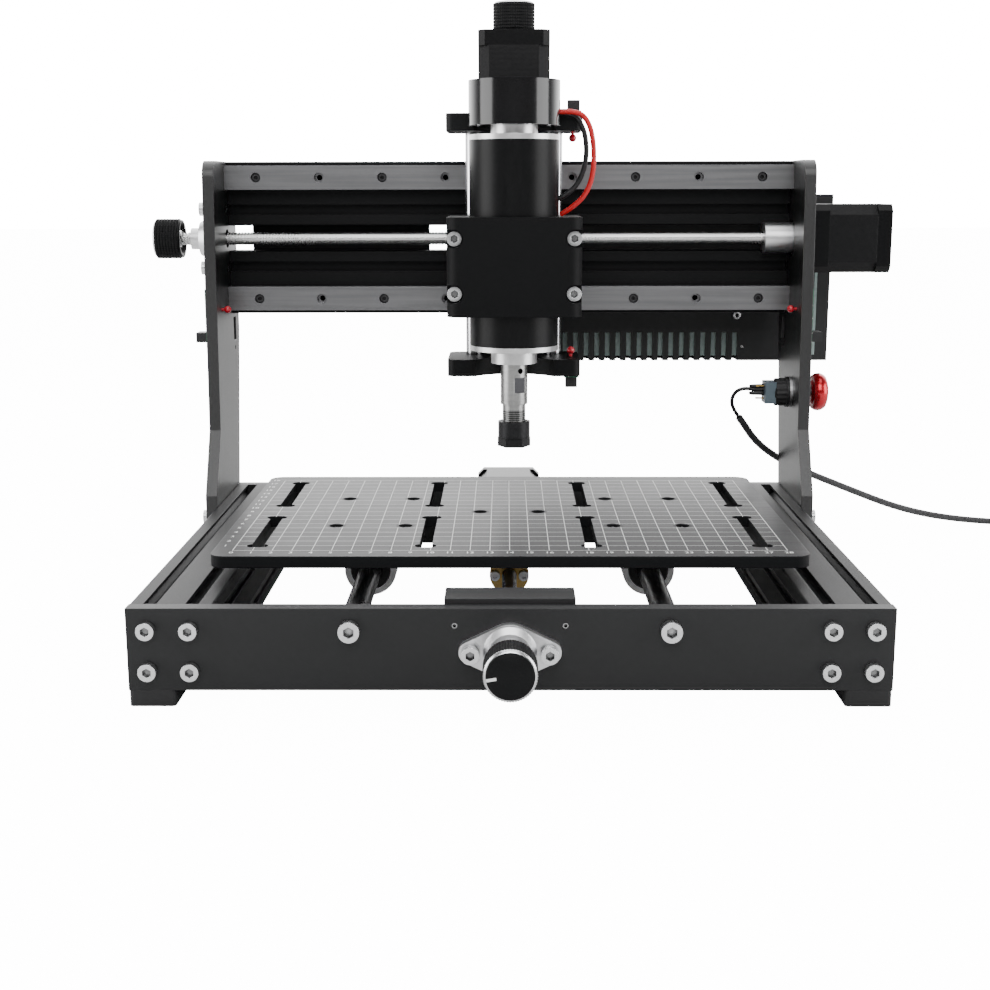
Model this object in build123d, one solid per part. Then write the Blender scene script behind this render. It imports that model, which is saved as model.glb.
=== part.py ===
"""Desktop CNC router: moving bed, fixed gantry, sliding spindle carriage.

Millimetres. While the pieces are made, X runs left to right, Y front to back and Z up from the
floor, with X = 0 at the middle of the base and Y = 0 at the front panel's front face. Every piece
is then shifted so that the origin is the bottom centre of the whole machine.
"""
import math
import os

from build123d import *

# ---------------------------------------------------------------- fits and small hardware
slip = 0.1                # radial gap of a running or located fit
touch_gap = 0.3           # gap between pieces that pass each other
screw_gap = 0.1           # radial gap round a screw's shank
m3, m4, m5, m6 = 3.0, 4.0, 5.0, 6.0

# ---------------------------------------------------------------- base frame
base_width = 360.0        # over the side bars, and the length of the gantry beams
bar_length = 284.0        # side bars, between the two panels
panel_thickness = 8.0
cell = 20.0               # core spacing of the slotted aluminium bars
foot_height = 8.0
foot_width = 22.0
foot_depth = 40.0
foot_corner = 2.0
rod_diameter = 12.0       # bed rods
end_screw_grip = 12.0     # screw length inside a bar's core or a rod
slot_grip = 5.5           # screw length inside a bar's slot
limit_housing = (62.0, 20.0, 16.5)   # width, depth and height of a Y switch housing
limit_housing_notch = 13.0
limit_screw_x = 26.0

# ---------------------------------------------------------------- bed
bed_margin = 60.0         # the bed is this much narrower than the base
bed_depth = 205.0
bed_thickness = 6.0
bed_corner = 8.0
bed_slot_inset = 21.0     # outer slots from the bed's side edges
bed_slot_inner = (-43.0, 42.0)
bed_slot_rows = (-47.5, 49.0)
bed_slot_length = 72.0
bed_slot_width = 6.5
bed_slot_end = 11.0       # diameter of the relief at each end of a slot
bed_slot_end_width = 6.5
clamp_hole = 7.6
clamp_hole_side_y = 0.0
clamp_hole_pitch_y = 70.0
clamp_hole_middle_pitch = 32.5
bearing_seat = 9.0        # a cartridge is this much larger than its rod
bearing_wall = 3.5
bearing_rise = 3.0        # bed underside above the bearing shells
bearing_length = 30.0
bearing_offset = 26.5     # bearing centres in front of and behind the bed's centre
bearing_pad = 28.0

# ---------------------------------------------------------------- lead screws and motors
screw_diameter = 8.0
motor_shaft = 5.0
motor_side = 42.3
motor_bell = 9.0
motor_stack = 30.0
motor_corner = 4.0
stack_corner = 6.5
motor_boss = 22.0
motor_boss_height = 2.0
shaft_reach = 15.5        # motor face to the middle of its coupling
nut_wall = 1.1
nut_flange = 22.0
nut_flange_thickness = 3.5
nut_pitch_circle = 16.0
coupling_diameter = 19.0
coupling_length = 25.0
flange_hole_spacing = 37.0
flange_width = 27.0
flange_ear = 5.5
flange_base = 5.0
flange_dome = 9.6
flange_collar = 15.5
flange_collar_diameter = 13.5
knob_diameter = 25.0
knob_length = 17.0
z_knob_gap = 0.4            # Z knob above its motor
knob_standoff = 21.5
knob_wall = 3.2
knob_end = 5.0

# ---------------------------------------------------------------- gantry
plate_thickness = 7.0
plate_corner = 10.0
beam_setback = 4.0        # beam fronts ahead of the base's rear face
beam_bottom = 161.0
beam_gap = 16.0
rail_width = 15.0
rail_height = 10.0
rail_hole_pitch = 40.0
rail_hole = 3.5
rail_counterbore = 6.0
rail_counterbore_depth = 4.5
rail_groove = 1.2
car_length = 58.8
car_width = 32.0
car_top = 16.0            # top of a car above its rail's underside
car_lift = 4.0            # underside of a car above its rail's underside
x_screw_standoff = 6.0    # screw axis in front of the beams
motor_spacer = 4.0
joining_plate_thickness = 3.0

# ---------------------------------------------------------------- carriage (x_rest from the middle)
x_rest = 3.0
carriage_thickness = 12.0
carriage_width = 59.0
striker_width = 82.0
striker_height = 63.0
bracket_thickness = 10.0
bracket_side = 13.75      # bracket beyond the fan cap, each side
bracket_cutback = 14.0    # bracket fronts behind the spindle axis
bracket_drop = 32.0       # bracket underside below the beams
carriage_height = 154.0
z_rod_diameter = 10.0
z_rod_spacing = 49.0
z_rod_standoff = 13.5     # rod axes in front of the carriage plate
z_motor_gap = 1.1         # between the fan cap and the Z motor

# ---------------------------------------------------------------- spindle slide
spindle_drop = 14.0       # spindle underside below the beams
spindle_diameter = 52.0
spindle_wall = 3.0
spindle_body_length = 123.0
end_plate = 3.0
cap_oversize = 0.5        # fan cap over the can, in diameter
cap_gap = 5.0             # between the can and the fan cap
cap_height = 25.0
cap_wall = 2.2
clamp_rise = 7.0          # clamp underside above the beams'
clamp_height = 56.0
clamp_wall = 12.5         # clamp beyond the spindle, each side
clamp_screw_offset = 8.0  # screw axes beyond the spindle, each side
clamp_front_depth = 30.0
clamp_back_gap = 2.0      # between the clamp and the carriage plate
clamp_corner = 8.0
clamp_split = 0.6
clamp_screw_z = (13.0, 44.0)
clamp_pocket = 10.0
clamp_pocket_depth = 7.0
z_bearing = 19.0
z_bearing_length = 55.0
boss_diameter = 27.0
boss_height = 8.0
spindle_shaft = 8.0
armature_diameter = 40.0
armature_length = 84.0
chuck_diameter = 16.0
chuck_length = 24.0
chuck_neck = 13.6
chuck_neck_length = 20.0
chuck_turn = 28.0           # the chuck's screw hole and flat, round from the front
collet_bore = 3.175
collet_length = 18.0
collet_outer = 10.0
nut_outer = 19.0
nut_ring = 9.5
nut_hex = 17.0
nut_hex_height = 5.5
lead_diameter = 3.0
lead_offsets = (6.0, 10.0)   # leads behind the spindle axis
lead_rise = 8.0           # lead holes above the fan cap's underside
lead_foot_offset = 5.75   # where the leads enter the clamp, beyond the fan cap

# ---------------------------------------------------------------- limit switches, stop button, box
tip_diameter = 4.6
tip_stem = 2.0
x_tip_setback = 34.0      # X tips in front of the beams
x_tip_rise = 5.0          # X tips above the beams' underside
z_tip_inset = 5.0         # Z tips from the brackets' side edge
z_tip_setback = 14.5      # Z tips in front of the Z rods
limit_board = 1.6
stop_barrel = 16.0
stop_stem = 6.0
stop_head = 24.0
stop_setback = 24.0       # button axis in front of the beams
stop_rise = 64.5          # button axis above the base
stop_stem_root = 4.0      # stem's inner end behind the side plate's inner face
stop_stem_length = 21.0
box_left = -2.0
box_overhang = 28.0       # box beyond the right side plate
box_standoff = 14.0       # box behind the beams
box_drop = 35.0           # box underside below the beams'
box_depth = 32.0
box_height = 110.0
box_wall = 2.0
vent_pitch = 7.15
vent_width = 3.4
vent_count = 20
vent_inset = 62.3         # last vent from the box's right end
vent_height = 17.0
cord_diameter = 4.5
wire_diameter = 2.4
coil_x = 404.0
coil_y = 399.0
coil_middle = 50.0        # diameter at the middle of the turns
coil_band = 9.0

# ---------------------------------------------------------------- worked out
side = 2 * cell                                   # side bars and beams are two cells high
base_depth = bar_length + 2 * panel_thickness
base_top = foot_height + side
screw_z = foot_height + cell
rod_z = foot_height + 1.5 * cell
limit_screw_z = rod_z + 1.5
bar_x = base_width / 2 - cell
bed_width = base_width - bed_margin
rod_spacing = bed_width / 2
bed_slot_columns = (bed_slot_inset - bed_width / 2, *bed_slot_inner, bed_width / 2 - bed_slot_inset)
clamp_hole_side_x = bed_width / 4
clamp_hole_pitch_x = bed_width / 8
bearing_cartridge = rod_diameter + bearing_seat
bearing_shell = bearing_cartridge + 2 * bearing_wall
nut_barrel = screw_diameter + 2 * nut_wall
screw_end_bore = screw_diameter + 2 * slip
bed_y = base_depth / 2
bed_bottom = rod_z + bearing_shell / 2 + bearing_rise
bed_top = bed_bottom + bed_thickness
bearing_bore = rod_diameter + 2 * slip
motor_half = motor_side / 2
motor_length = 2 * motor_bell + motor_stack
beam_front = base_depth - beam_setback
beam_back = beam_front + cell
beam_length = base_width
beam_z = (beam_bottom, beam_bottom + side + beam_gap)
gantry_top = beam_z[1] + side
gap_z = beam_bottom + side + beam_gap / 2         # X screw height, middle of the gap
rail_z = (beam_bottom + cell / 2, gantry_top - cell / 2)
rail_front = beam_front - rail_height
car_front = beam_front - car_top
plate_in = base_width / 2
plate_out = plate_in + plate_thickness
x_screw_y = beam_front - x_screw_standoff
x_motor_face = plate_out + motor_spacer
carriage_back = car_front
carriage_front = carriage_back - carriage_thickness
cap_diameter = spindle_diameter + cap_oversize
z_axis_y = carriage_front - z_rod_standoff
spindle_axis_y = z_axis_y - motor_half - z_motor_gap - cap_diameter / 2
bracket_width = cap_diameter + 2 * bracket_side
bracket_front = spindle_axis_y + bracket_cutback
bracket_bottom = beam_bottom - bracket_drop
spindle_bottom = beam_bottom - spindle_drop
clamp_bottom = beam_bottom + clamp_rise
clamp_width = spindle_diameter + 2 * clamp_wall
clamp_screw_x = spindle_diameter / 2 + clamp_screw_offset
bracket_z = (bracket_bottom, bracket_bottom + carriage_height - bracket_thickness)
carriage_top = bracket_bottom + carriage_height
clamp_back = carriage_front - clamp_back_gap
clamp_top = clamp_bottom + clamp_height
spindle_top = spindle_bottom + spindle_body_length
cap_bottom = spindle_top + cap_gap
lead_y = tuple(spindle_axis_y + offset for offset in lead_offsets)
lead_top_z = cap_bottom + lead_rise
lead_foot_x = cap_diameter / 2 + lead_foot_offset
x_tip_y = beam_front - x_tip_setback
x_tip_z = beam_bottom + x_tip_rise
z_tip_x = bracket_width / 2 - z_tip_inset
z_tip_y = z_axis_y - z_tip_setback
stop_y = beam_front - stop_setback
stop_z = base_top + stop_rise
box_right = plate_out + box_overhang
box_front = beam_back + box_standoff
box_bottom = beam_bottom - box_drop
vent_last = box_right - vent_inset
chuck_top = spindle_bottom - boss_height - touch_gap
neck_bottom = chuck_top - chuck_length - chuck_neck_length
machine_left = -(plate_out + knob_standoff + knob_length)
machine_right = x_motor_face + motor_length
machine_front = -(knob_standoff + knob_length)
machine_back = box_front + box_depth
shift = Pos(-(machine_left + machine_right) / 2, -(machine_front + machine_back) / 2, 0)

TURN = {"X": Rot(0, 90, 0), "Y": Rot(-90, 0, 0), "Z": Rot(0, 0, 0)}
BASED = (Align.CENTER, Align.CENTER, Align.MIN)


# ---------------------------------------------------------------- helpers
def block(x0, x1, y0, y1, z0, z1):
    """A box between two corners."""
    return Pos(x0, y0, z0) * Box(x1 - x0, y1 - y0, z1 - z0, align=(Align.MIN, Align.MIN, Align.MIN))


def rod(axis, start, diameter, length):
    """A round bar from start, running along the positive axis."""
    return Pos(*start) * TURN[axis] * Cylinder(diameter / 2, length, align=BASED)


def tube(axis, start, outer, inner, length):
    return rod(axis, start, outer, length) - rod(axis, start, inner, length)


def facing(point, outward):
    """A place at point whose own Z looks along outward."""
    return Plane(origin=point, z_dir=outward).location


def cap_screw(size, grip, seat, outward):
    """A socket cap screw: its head stands out of seat and its shank goes in."""
    head = Cylinder(0.75 * size + 0.5, size, align=BASED)
    socket = Pos(0, 0, size / 2) * extrude(RegularPolygon(0.46 * size, 6), size)
    shank = Pos(0, 0, -grip) * Cylinder(size / 2, grip, align=BASED)
    return facing(seat, outward) * (head - socket + shank)


def set_screw(size, grip, seat, outward):
    """A headless screw, sunk a little below seat, with a hexagon socket in its end."""
    sink = size / 4
    shank = Pos(0, 0, -grip) * Cylinder(size / 2, grip - sink, align=BASED)
    socket = Pos(0, 0, -sink - size / 2) * extrude(RegularPolygon(0.3 * size, 6), size / 2)
    return facing(seat, outward) * (shank - socket)


def screw_hole(size, depth, seat, outward):
    """The clearance hole for such a screw, cut inwards from seat."""
    hole = Pos(0, 0, -depth) * Cylinder(size / 2 + screw_gap, depth, align=BASED)
    return facing(seat, outward) * hole


def bar_section(columns, rows):
    """Cross-section of a slotted aluminium bar made of square cells, centred on the origin."""
    wide, high = columns * cell, rows * cell
    mouth, lip, wing, wing_depth, floor, depth = 3.1, 1.8, 5.3, 3.4, 2.9, 5.8
    slot = Polygon((-mouth, 1), (mouth, 1), (mouth, -lip), (wing, -lip), (wing, -wing_depth),
                   (floor, -depth), (-floor, -depth), (-wing, -wing_depth), (-wing, -lip),
                   (-mouth, -lip), align=None)
    section = RectangleRounded(wide, high, 1.0)
    us = [(i - (columns - 1) / 2) * cell for i in range(columns)]
    vs = [(j - (rows - 1) / 2) * cell for j in range(rows)]
    for u in us:
        section -= Pos(u, high / 2) * slot
        section -= Pos(u, -high / 2) * Rot(0, 0, 180) * slot
    for v in vs:
        section -= Pos(wide / 2, v) * Rot(0, 0, -90) * slot
        section -= Pos(-wide / 2, v) * Rot(0, 0, 90) * slot
    for u in us:
        for v in vs:
            section -= Pos(u, v) * Circle(m5 / 2 + screw_gap)
    if columns == 2:
        section -= RectangleRounded(cell / 2, cell / 2, 1.5)
    return section


def knob(shaft_diameter):
    """Turned hand knob: closed outer end at Z = 0, open back towards negative Z."""
    cup = Pos(0, 0, -knob_length) * Cylinder(knob_diameter / 2, knob_length, align=BASED)
    hollow = Cylinder(knob_diameter / 2 - knob_wall, knob_length - knob_end, align=BASED)
    hub = Cylinder(screw_diameter / 2 + 3, knob_length - knob_end, align=BASED)
    bore = Cylinder(shaft_diameter / 2 + slip / 2, knob_length - knob_end + 3, align=BASED)
    cup = cup - Pos(0, 0, -knob_length) * (hollow - hub)
    cup = cup - Pos(0, 0, -knob_length) * bore
    return chamfer(cup.edges().group_by(Axis.Z)[-1], 0.8)


def stepper():
    """A square stepping motor in three pieces: its face at Z = 0, its body towards positive Z."""
    def slab(corner, z, thick):
        return Pos(0, 0, z) * extrude(chamfer(Rectangle(motor_side, motor_side).vertices(), corner), thick)

    boss = Pos(0, 0, -motor_boss_height) * Cylinder(motor_boss / 2, motor_boss_height, align=BASED)
    bore = Pos(0, 0, -motor_boss_height) * Cylinder(
        motor_shaft / 2 + slip, 2 * motor_length, align=BASED)
    front = slab(motor_corner, 0, motor_bell) + boss - bore
    stack = slab(stack_corner, motor_bell, motor_stack) - bore
    rear = slab(motor_corner, motor_bell + motor_stack, motor_bell) - bore
    return [front, stack, rear]


def flange_bearing():
    """Two-bolt flanged bearing, back face at Z = 0, bolts along X, collar towards positive Z."""
    ear = Circle(flange_ear)
    outline = make_hull([*(Pos(flange_hole_spacing / 2, 0) * ear).edges(),
                         *(Pos(-flange_hole_spacing / 2, 0) * ear).edges(),
                         *Circle(flange_width / 2).edges()])
    body = extrude(outline, flange_base)
    dome = Cone(flange_width / 2 - 0.8, flange_width / 2 - 3, flange_dome - flange_base, align=BASED)
    body += Pos(0, 0, flange_base) * dome
    body += Cylinder(flange_collar_diameter / 2, flange_collar, align=BASED)
    body -= Cylinder(screw_diameter / 2 + slip, flange_collar, align=BASED)
    for side_x in (-1, 1):
        body -= Pos(side_x * flange_hole_spacing / 2, 0) * Cylinder(
            m5 / 2 + screw_gap, flange_base, align=BASED)
    return body


def flange_screw_seats(centre, outward, along):
    """The two screw seats of a flanged bearing, on the outer side of its ears."""
    out, way = Vector(outward), Vector(along)
    return [Vector(*centre) + out * flange_base + way * (s * flange_hole_spacing / 2) for s in (-1, 1)]


# ---------------------------------------------------------------- base frame
def side_profiles():
    section = bar_section(2, 2)
    return [Pos(s * bar_x, panel_thickness, screw_z) * TURN["Y"] * extrude(section, bar_length)
            for s in (-1, 1)]


def corner_screw_places():
    """(x, z) of the four screws into each side bar's cores."""
    half = cell / 2
    return [(s * bar_x + i * half, screw_z + j * half) for s in (-1, 1) for i in (-1, 1) for j in (-1, 1)]


def panel(y0):
    """An end panel with the holes that both panels share."""
    plate = block(-base_width / 2, base_width / 2, y0, y0 + panel_thickness, foot_height, base_top)
    for x, z in corner_screw_places():
        plate -= rod("Y", (x, y0, z), m5 + 2 * screw_gap, panel_thickness)
    for s in (-1, 1):
        plate -= rod("Y", (s * rod_spacing / 2, y0, rod_z), m6 + 2 * screw_gap, panel_thickness)
        plate -= rod("Y", (s * limit_screw_x, y0, limit_screw_z), m3 + 2 * screw_gap, panel_thickness)
    return plate


def front_panel():
    plate = panel(0)
    plate -= rod("Y", (0, 0, screw_z), screw_diameter + 4, panel_thickness)
    for s in (-1, 1):
        plate -= rod("Y", (s * flange_hole_spacing / 2, 0, screw_z), m5 + 2 * screw_gap, panel_thickness)
    return plate


def rear_panel():
    y0 = base_depth - panel_thickness
    plate = panel(y0) - rod("Y", (0, y0, screw_z), motor_boss + 2 * slip, panel_thickness)
    return plate


def feet():
    pads = []
    for x0, x1 in ((-base_width / 2, foot_width - base_width / 2), (base_width / 2 - foot_width, base_width / 2)):
        for y0 in (0, base_depth - foot_depth):
            pad = block(x0, x1, y0, y0 + foot_depth, 0, foot_height)
            pads.append(fillet(pad.edges().filter_by(Axis.Z), foot_corner))
    return pads


def frame_cap_screws():
    """Screws through both panels, the flanged bearings and the side plates."""
    screws = []
    grip = panel_thickness + end_screw_grip
    for y, out in ((0, -1), (base_depth, 1)):
        outward = (0, out, 0)
        screws += [cap_screw(m5, grip, (x, y, z), outward) for x, z in corner_screw_places()]
        for s in (-1, 1):
            screws.append(cap_screw(m6, grip, (s * rod_spacing / 2, y, rod_z), outward))
            screws.append(set_screw(m3, panel_thickness + 6, (s * limit_screw_x, y, limit_screw_z), outward))
    front = (0, 0, screw_z)
    left = (-plate_out, x_screw_y, gap_z)
    for centre, outward, along, wall in ((front, (0, -1, 0), (1, 0, 0), panel_thickness),
                                         (left, (-1, 0, 0), (0, 0, 1), plate_thickness)):
        screws += [cap_screw(m5, flange_base + wall, seat, outward)
                   for seat in flange_screw_seats(centre, outward, along)]
    for s in (-1, 1):
        for y, z, grip in plate_screw_places(s):
            screws.append(cap_screw(m5, plate_thickness + grip, (s * plate_out, y, z), (s, 0, 0)))
    return screws


def y_rods():
    rods = []
    for s in (-1, 1):
        bar = rod("Y", (s * rod_spacing / 2, panel_thickness, rod_z), rod_diameter, bar_length)
        for y, out in ((panel_thickness, -1), (base_depth - panel_thickness, 1)):
            bar -= screw_hole(m6, end_screw_grip + 1, (s * rod_spacing / 2, y, rod_z), (0, out, 0))
        rods.append(bar)
    return rods


def y_limit_housings():
    """Switch housings behind the two panels, bridging the lead screw."""
    shells = []
    wide, deep, high = limit_housing
    for y0, y1, y_screw, inward in (
            (panel_thickness, panel_thickness + deep, panel_thickness, 1),
            (base_depth - panel_thickness - deep, base_depth - panel_thickness,
             base_depth - panel_thickness, -1)):
        top = base_top + 2.5
        shell = block(-wide / 2, wide / 2, y0, y1, top - high, top)
        shell -= block(-limit_housing_notch, limit_housing_notch, y0, y1, top - high, rod_z + 1)
        for s in (-1, 1):
            shell -= screw_hole(m3, 7, (s * limit_screw_x, y_screw, limit_screw_z), (0, -inward, 0))
        shells.append(shell)
    return shells


# ---------------------------------------------------------------- gantry
def plate_screw_places(s):
    """(y, z, grip) of the screws through a side plate: into the side bar's slots and the beams' cores.

    The X motor covers the two middle ones on the right.
    """
    low = [(beam_front - 56 + i * 40, screw_z + j * cell / 2, slot_grip) for i in (0, 1) for j in (-1, 1)]
    cores = [z + (i + 0.5) * cell for z in beam_z for i in (0, 1)]
    high = [(beam_front + cell / 2, z, end_screw_grip) for z in cores if s < 0 or abs(z - gap_z) > motor_half]
    return low + high


def plate_outline():
    """Side plate outline, as (y, z) about the beams and the base."""
    corners = [(beam_front - 73, foot_height), (beam_front - 73, base_top + 6.5),
               (beam_front - 53, base_top + 44.5), (beam_front - 44, gantry_top),
               (beam_back + 4, gantry_top), (beam_back + 4, beam_bottom - 11),
               (base_depth, base_top - 2), (base_depth - 3, foot_height)]
    sketch = Polygon(*corners, align=None)
    return fillet([v for v in sketch.vertices() if abs(v.Y - gantry_top) < 0.01], plate_corner)


def side_plate(s):
    x0 = plate_in if s > 0 else -plate_out
    plate = Pos(x0, 0, 0) * (Plane.YZ * extrude(plate_outline(), plate_thickness, dir=(0, 0, 1)))
    for y, z, _ in plate_screw_places(s):
        plate -= rod("X", (x0, y, z), m5 + 2 * screw_gap, plate_thickness)
    plate -= rod("X", (x0, x_tip_y, x_tip_z), tip_stem + 2 * touch_gap, plate_thickness)
    slot_y = beam_front + 8
    plate -= block(x0, x0 + plate_thickness, slot_y - 4, slot_y + 4, base_top + 95, base_top + 110)
    plate -= rod("X", (x0, slot_y, base_top + 90), m3, plate_thickness)
    return plate


def side_plate_left():
    plate = side_plate(-1)
    plate -= rod("X", (-plate_out, x_screw_y, gap_z), screw_diameter + 4, plate_thickness)
    for s in (-1, 1):
        plate -= rod("X", (-plate_out, x_screw_y, gap_z + s * flange_hole_spacing / 2),
                     m5 + 2 * screw_gap, plate_thickness)
    return plate


def side_plate_right():
    plate = side_plate(1)
    plate -= rod("X", (plate_in, x_screw_y, gap_z), motor_boss + 2 * slip, plate_thickness)
    plate -= rod("X", (plate_in, stop_y, stop_z), stop_barrel + 2 * slip, plate_thickness)
    return plate


def gantry_beams():
    section = bar_section(1, 2)
    turned = Rot(0, 90, 0) * extrude(Rot(0, 0, 90) * section, beam_length)
    middle = (beam_front + beam_back) / 2
    return [Pos(-beam_length / 2, middle, z + side / 2) * turned for z in beam_z]


def beam_joining_plate():
    """Flat cover that joins the two beams behind the gap, left of the control box."""
    left, right, high = -(plate_in - 12), -52.0, beam_gap + 24
    y0 = beam_back
    plate = block(left, right, y0, y0 + joining_plate_thickness, gap_z - high / 2, gap_z + high / 2)
    return [fillet(plate.edges().filter_by(Axis.Y), 3)]


def x_rails():
    rails = []
    for z in rail_z:
        bar = block(-beam_length / 2, beam_length / 2, rail_front, beam_front,
                    z - rail_width / 2, z + rail_width / 2)
        for s in (-1, 1):
            edge = z + s * rail_width / 2
            bar -= block(-beam_length / 2, beam_length / 2, rail_front + 2.2, rail_front + 4.6,
                         edge - rail_groove, edge + rail_groove)
        for x in rail_hole_places():
            bar -= rod("Y", (x, rail_front, z), rail_hole, rail_height)
            bar -= rod("Y", (x, rail_front, z), rail_counterbore, rail_counterbore_depth)
        rails.append(bar)
    return rails


def rail_hole_places():
    count = int(beam_length // rail_hole_pitch)
    return [(i - (count - 1) / 2) * rail_hole_pitch for i in range(count)]


def x_rail_screws():
    """A screw in every other rail hole; its head is sunk in the counterbore."""
    screws = []
    for z in rail_z:
        for x in rail_hole_places()[::2]:
            head = rod("Y", (x, rail_front + 1.5, z), rail_counterbore - 0.5, m3)
            head -= rod("Y", (x, rail_front + 1.5, z), 2.4, 1.4)
            shank = rod("Y", (x, rail_front + 1.5 + m3, z), m3, rail_height - 1.5 - m3)
            screws.append(head + shank)
    return screws


def bearing_flanges():
    front = Plane(origin=(0, 0, screw_z), x_dir=(1, 0, 0), z_dir=(0, -1, 0))
    left = Plane(origin=(-plate_out, x_screw_y, gap_z), x_dir=(0, 0, 1), z_dir=(-1, 0, 0))
    return [place.location * flange_bearing() for place in (front, left)]


def frame_motors():
    """The X motor on the right side plate and the Y motor on the rear panel."""
    places = (facing((x_motor_face, x_screw_y, gap_z), (1, 0, 0)), facing((0, base_depth, screw_z), (0, 1, 0)))
    return [place * piece for place in places for piece in stepper()]


def x_motor_spacer():
    half = motor_half
    spacer = block(plate_out, x_motor_face, x_screw_y - half, x_screw_y + half, gap_z - half, gap_z + half)
    spacer = chamfer(spacer.edges().filter_by(Axis.X), motor_corner)
    return spacer - rod("X", (plate_out, x_screw_y, gap_z), motor_boss + 2 * slip, motor_spacer)


# ---------------------------------------------------------------- bed
def bed_slot_cutter():
    """One long clamping slot with a round relief across each end."""
    run = bed_slot_length - bed_slot_end_width
    cutter = Box(bed_slot_width, run, 3 * bed_thickness)
    for s in (-1, 1):
        relief = extrude(SlotOverall(bed_slot_end, bed_slot_end_width), 3 * bed_thickness)
        cutter += Pos(0, s * run / 2, -1.5 * bed_thickness) * relief
    return cutter


def clamp_hole_places():
    """(x, y) from the bed's centre: four holes each side and two in the middle."""
    places = [(s * clamp_hole_middle_pitch / 2, clamp_hole_side_y) for s in (-1, 1)]
    for s in (-1, 1):
        for i in (-1, 1):
            for j in (-1, 1):
                places.append((s * clamp_hole_side_x + i * clamp_hole_pitch_x / 2,
                               clamp_hole_side_y + j * clamp_hole_pitch_y / 2))
    return places


def bed_plate():
    outline = RectangleRounded(bed_width, bed_depth, bed_corner)
    plate = Pos(0, bed_y, bed_bottom) * extrude(outline, bed_thickness)
    cutter = bed_slot_cutter()
    for x in bed_slot_columns:
        for y in bed_slot_rows:
            plate -= Pos(x, bed_y + y, bed_bottom + bed_thickness / 2) * cutter
    for x, y in clamp_hole_places():
        plate -= rod("Z", (x, bed_y + y, bed_bottom), clamp_hole, bed_thickness)
    return plate


def bed_bearings():
    """Four round shells under the bed, each with a linear bearing cartridge."""
    pieces = []
    for sx in (-1, 1):
        for sy in (-1, 1):
            x = sx * rod_spacing / 2
            y0 = bed_y + sy * bearing_offset - bearing_length / 2
            shell = rod("Y", (x, y0, rod_z), bearing_shell, bearing_length)
            shell += block(x - bearing_pad / 2, x + bearing_pad / 2, y0, y0 + bearing_length,
                           bed_bottom - 5, bed_bottom)
            shell -= rod("Y", (x, y0, rod_z), bearing_cartridge, bearing_length)
            cartridge = tube("Y", (x, y0, rod_z), bearing_cartridge - slip, bearing_bore, bearing_length)
            pieces += [shell, cartridge]
    return pieces


def flanged_nut(length):
    """Brass flanged nut: the flange's front face at Z = 0, its barrel towards positive Z."""
    nut = Cylinder(nut_flange / 2, nut_flange_thickness, align=BASED)
    nut += Cylinder(nut_barrel / 2, length, align=BASED)
    nut -= Cylinder(screw_diameter / 2 + slip, length, align=BASED)
    for s in (-1, 1):
        nut -= Pos(s * nut_pitch_circle / 2, 0) * Cylinder(m3 / 2 + screw_gap, nut_flange_thickness, align=BASED)
    return nut


def y_nut():
    """Nut block under the bed, the brass nut against its front, and the nut's two screws."""
    y0 = bed_y - bearing_offset / 2 + 1.5
    half, deep, shoulder = 15.0, 22.0, 8.0
    boss = nut_flange - 1.0
    holder = block(-half, half, y0, y0 + deep, screw_z + shoulder, bed_bottom)
    holder += block(-boss / 2, boss / 2, y0, y0 + deep, screw_z, screw_z + shoulder)
    holder += rod("Y", (0, y0, screw_z), boss, deep)
    holder -= rod("Y", (0, y0, screw_z), nut_barrel + 2 * slip, deep)
    seat = y0 - nut_flange_thickness
    nut = Pos(0, seat, screw_z) * TURN["Y"] * flanged_nut(15)
    pieces = [holder, nut]
    for s in (-1, 1):
        x = s * nut_pitch_circle / 2
        pieces[0] = pieces[0] - screw_hole(m3, 8, (x, y0, screw_z), (0, -1, 0))
        pieces.append(cap_screw(m3, nut_flange_thickness + 6, (x, seat, screw_z), (0, -1, 0)))
    return pieces


# ---------------------------------------------------------------- lead screws, knobs, couplings
def y_lead_screw():
    """The Y screw and the motor shaft that drives it."""
    face = base_depth
    front = -(knob_standoff + knob_length - knob_end - 1)
    screw = rod("Y", (0, front, screw_z), screw_diameter, face - shaft_reach - 1 - front)
    shaft = rod("Y", (0, face - shaft_reach, screw_z), motor_shaft, shaft_reach + motor_bell + 10)
    return [screw, shaft]


def x_lead_screw():
    left = -(plate_out + knob_standoff + knob_length - knob_end - 1)
    stop = x_motor_face - shaft_reach
    screw = rod("X", (left, x_screw_y, gap_z), screw_diameter, stop - 1 - left)
    shaft = rod("X", (stop, x_screw_y, gap_z), motor_shaft, shaft_reach + motor_bell + 10)
    return [screw, shaft]


def coupling():
    """Rigid coupling along Z, centred where the screw meets the motor shaft."""
    half = coupling_length / 2
    body = Pos(0, 0, -half) * Cylinder(coupling_diameter / 2, coupling_length, align=BASED)
    body -= Pos(0, 0, -half) * Cylinder(screw_diameter / 2 + slip / 2, half, align=BASED)
    body -= Cylinder(motor_shaft / 2 + slip / 2, half, align=BASED)
    return chamfer(body.edges().group_by(Axis.Z)[-1].filter_by(GeomType.CIRCLE), 0.6)


def x_coupling():
    return Pos(x_motor_face - shaft_reach - 0.5, x_screw_y, gap_z) * TURN["X"] * coupling()


def y_coupling():
    return Pos(0, base_depth - shaft_reach - 0.5, screw_z) * TURN["Y"] * coupling()


def x_knob():
    return facing((machine_left, x_screw_y, gap_z), (-1, 0, 0)) * knob(screw_diameter)


def y_knob():
    return facing((0, machine_front, screw_z), (0, -1, 0)) * knob(screw_diameter)


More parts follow.
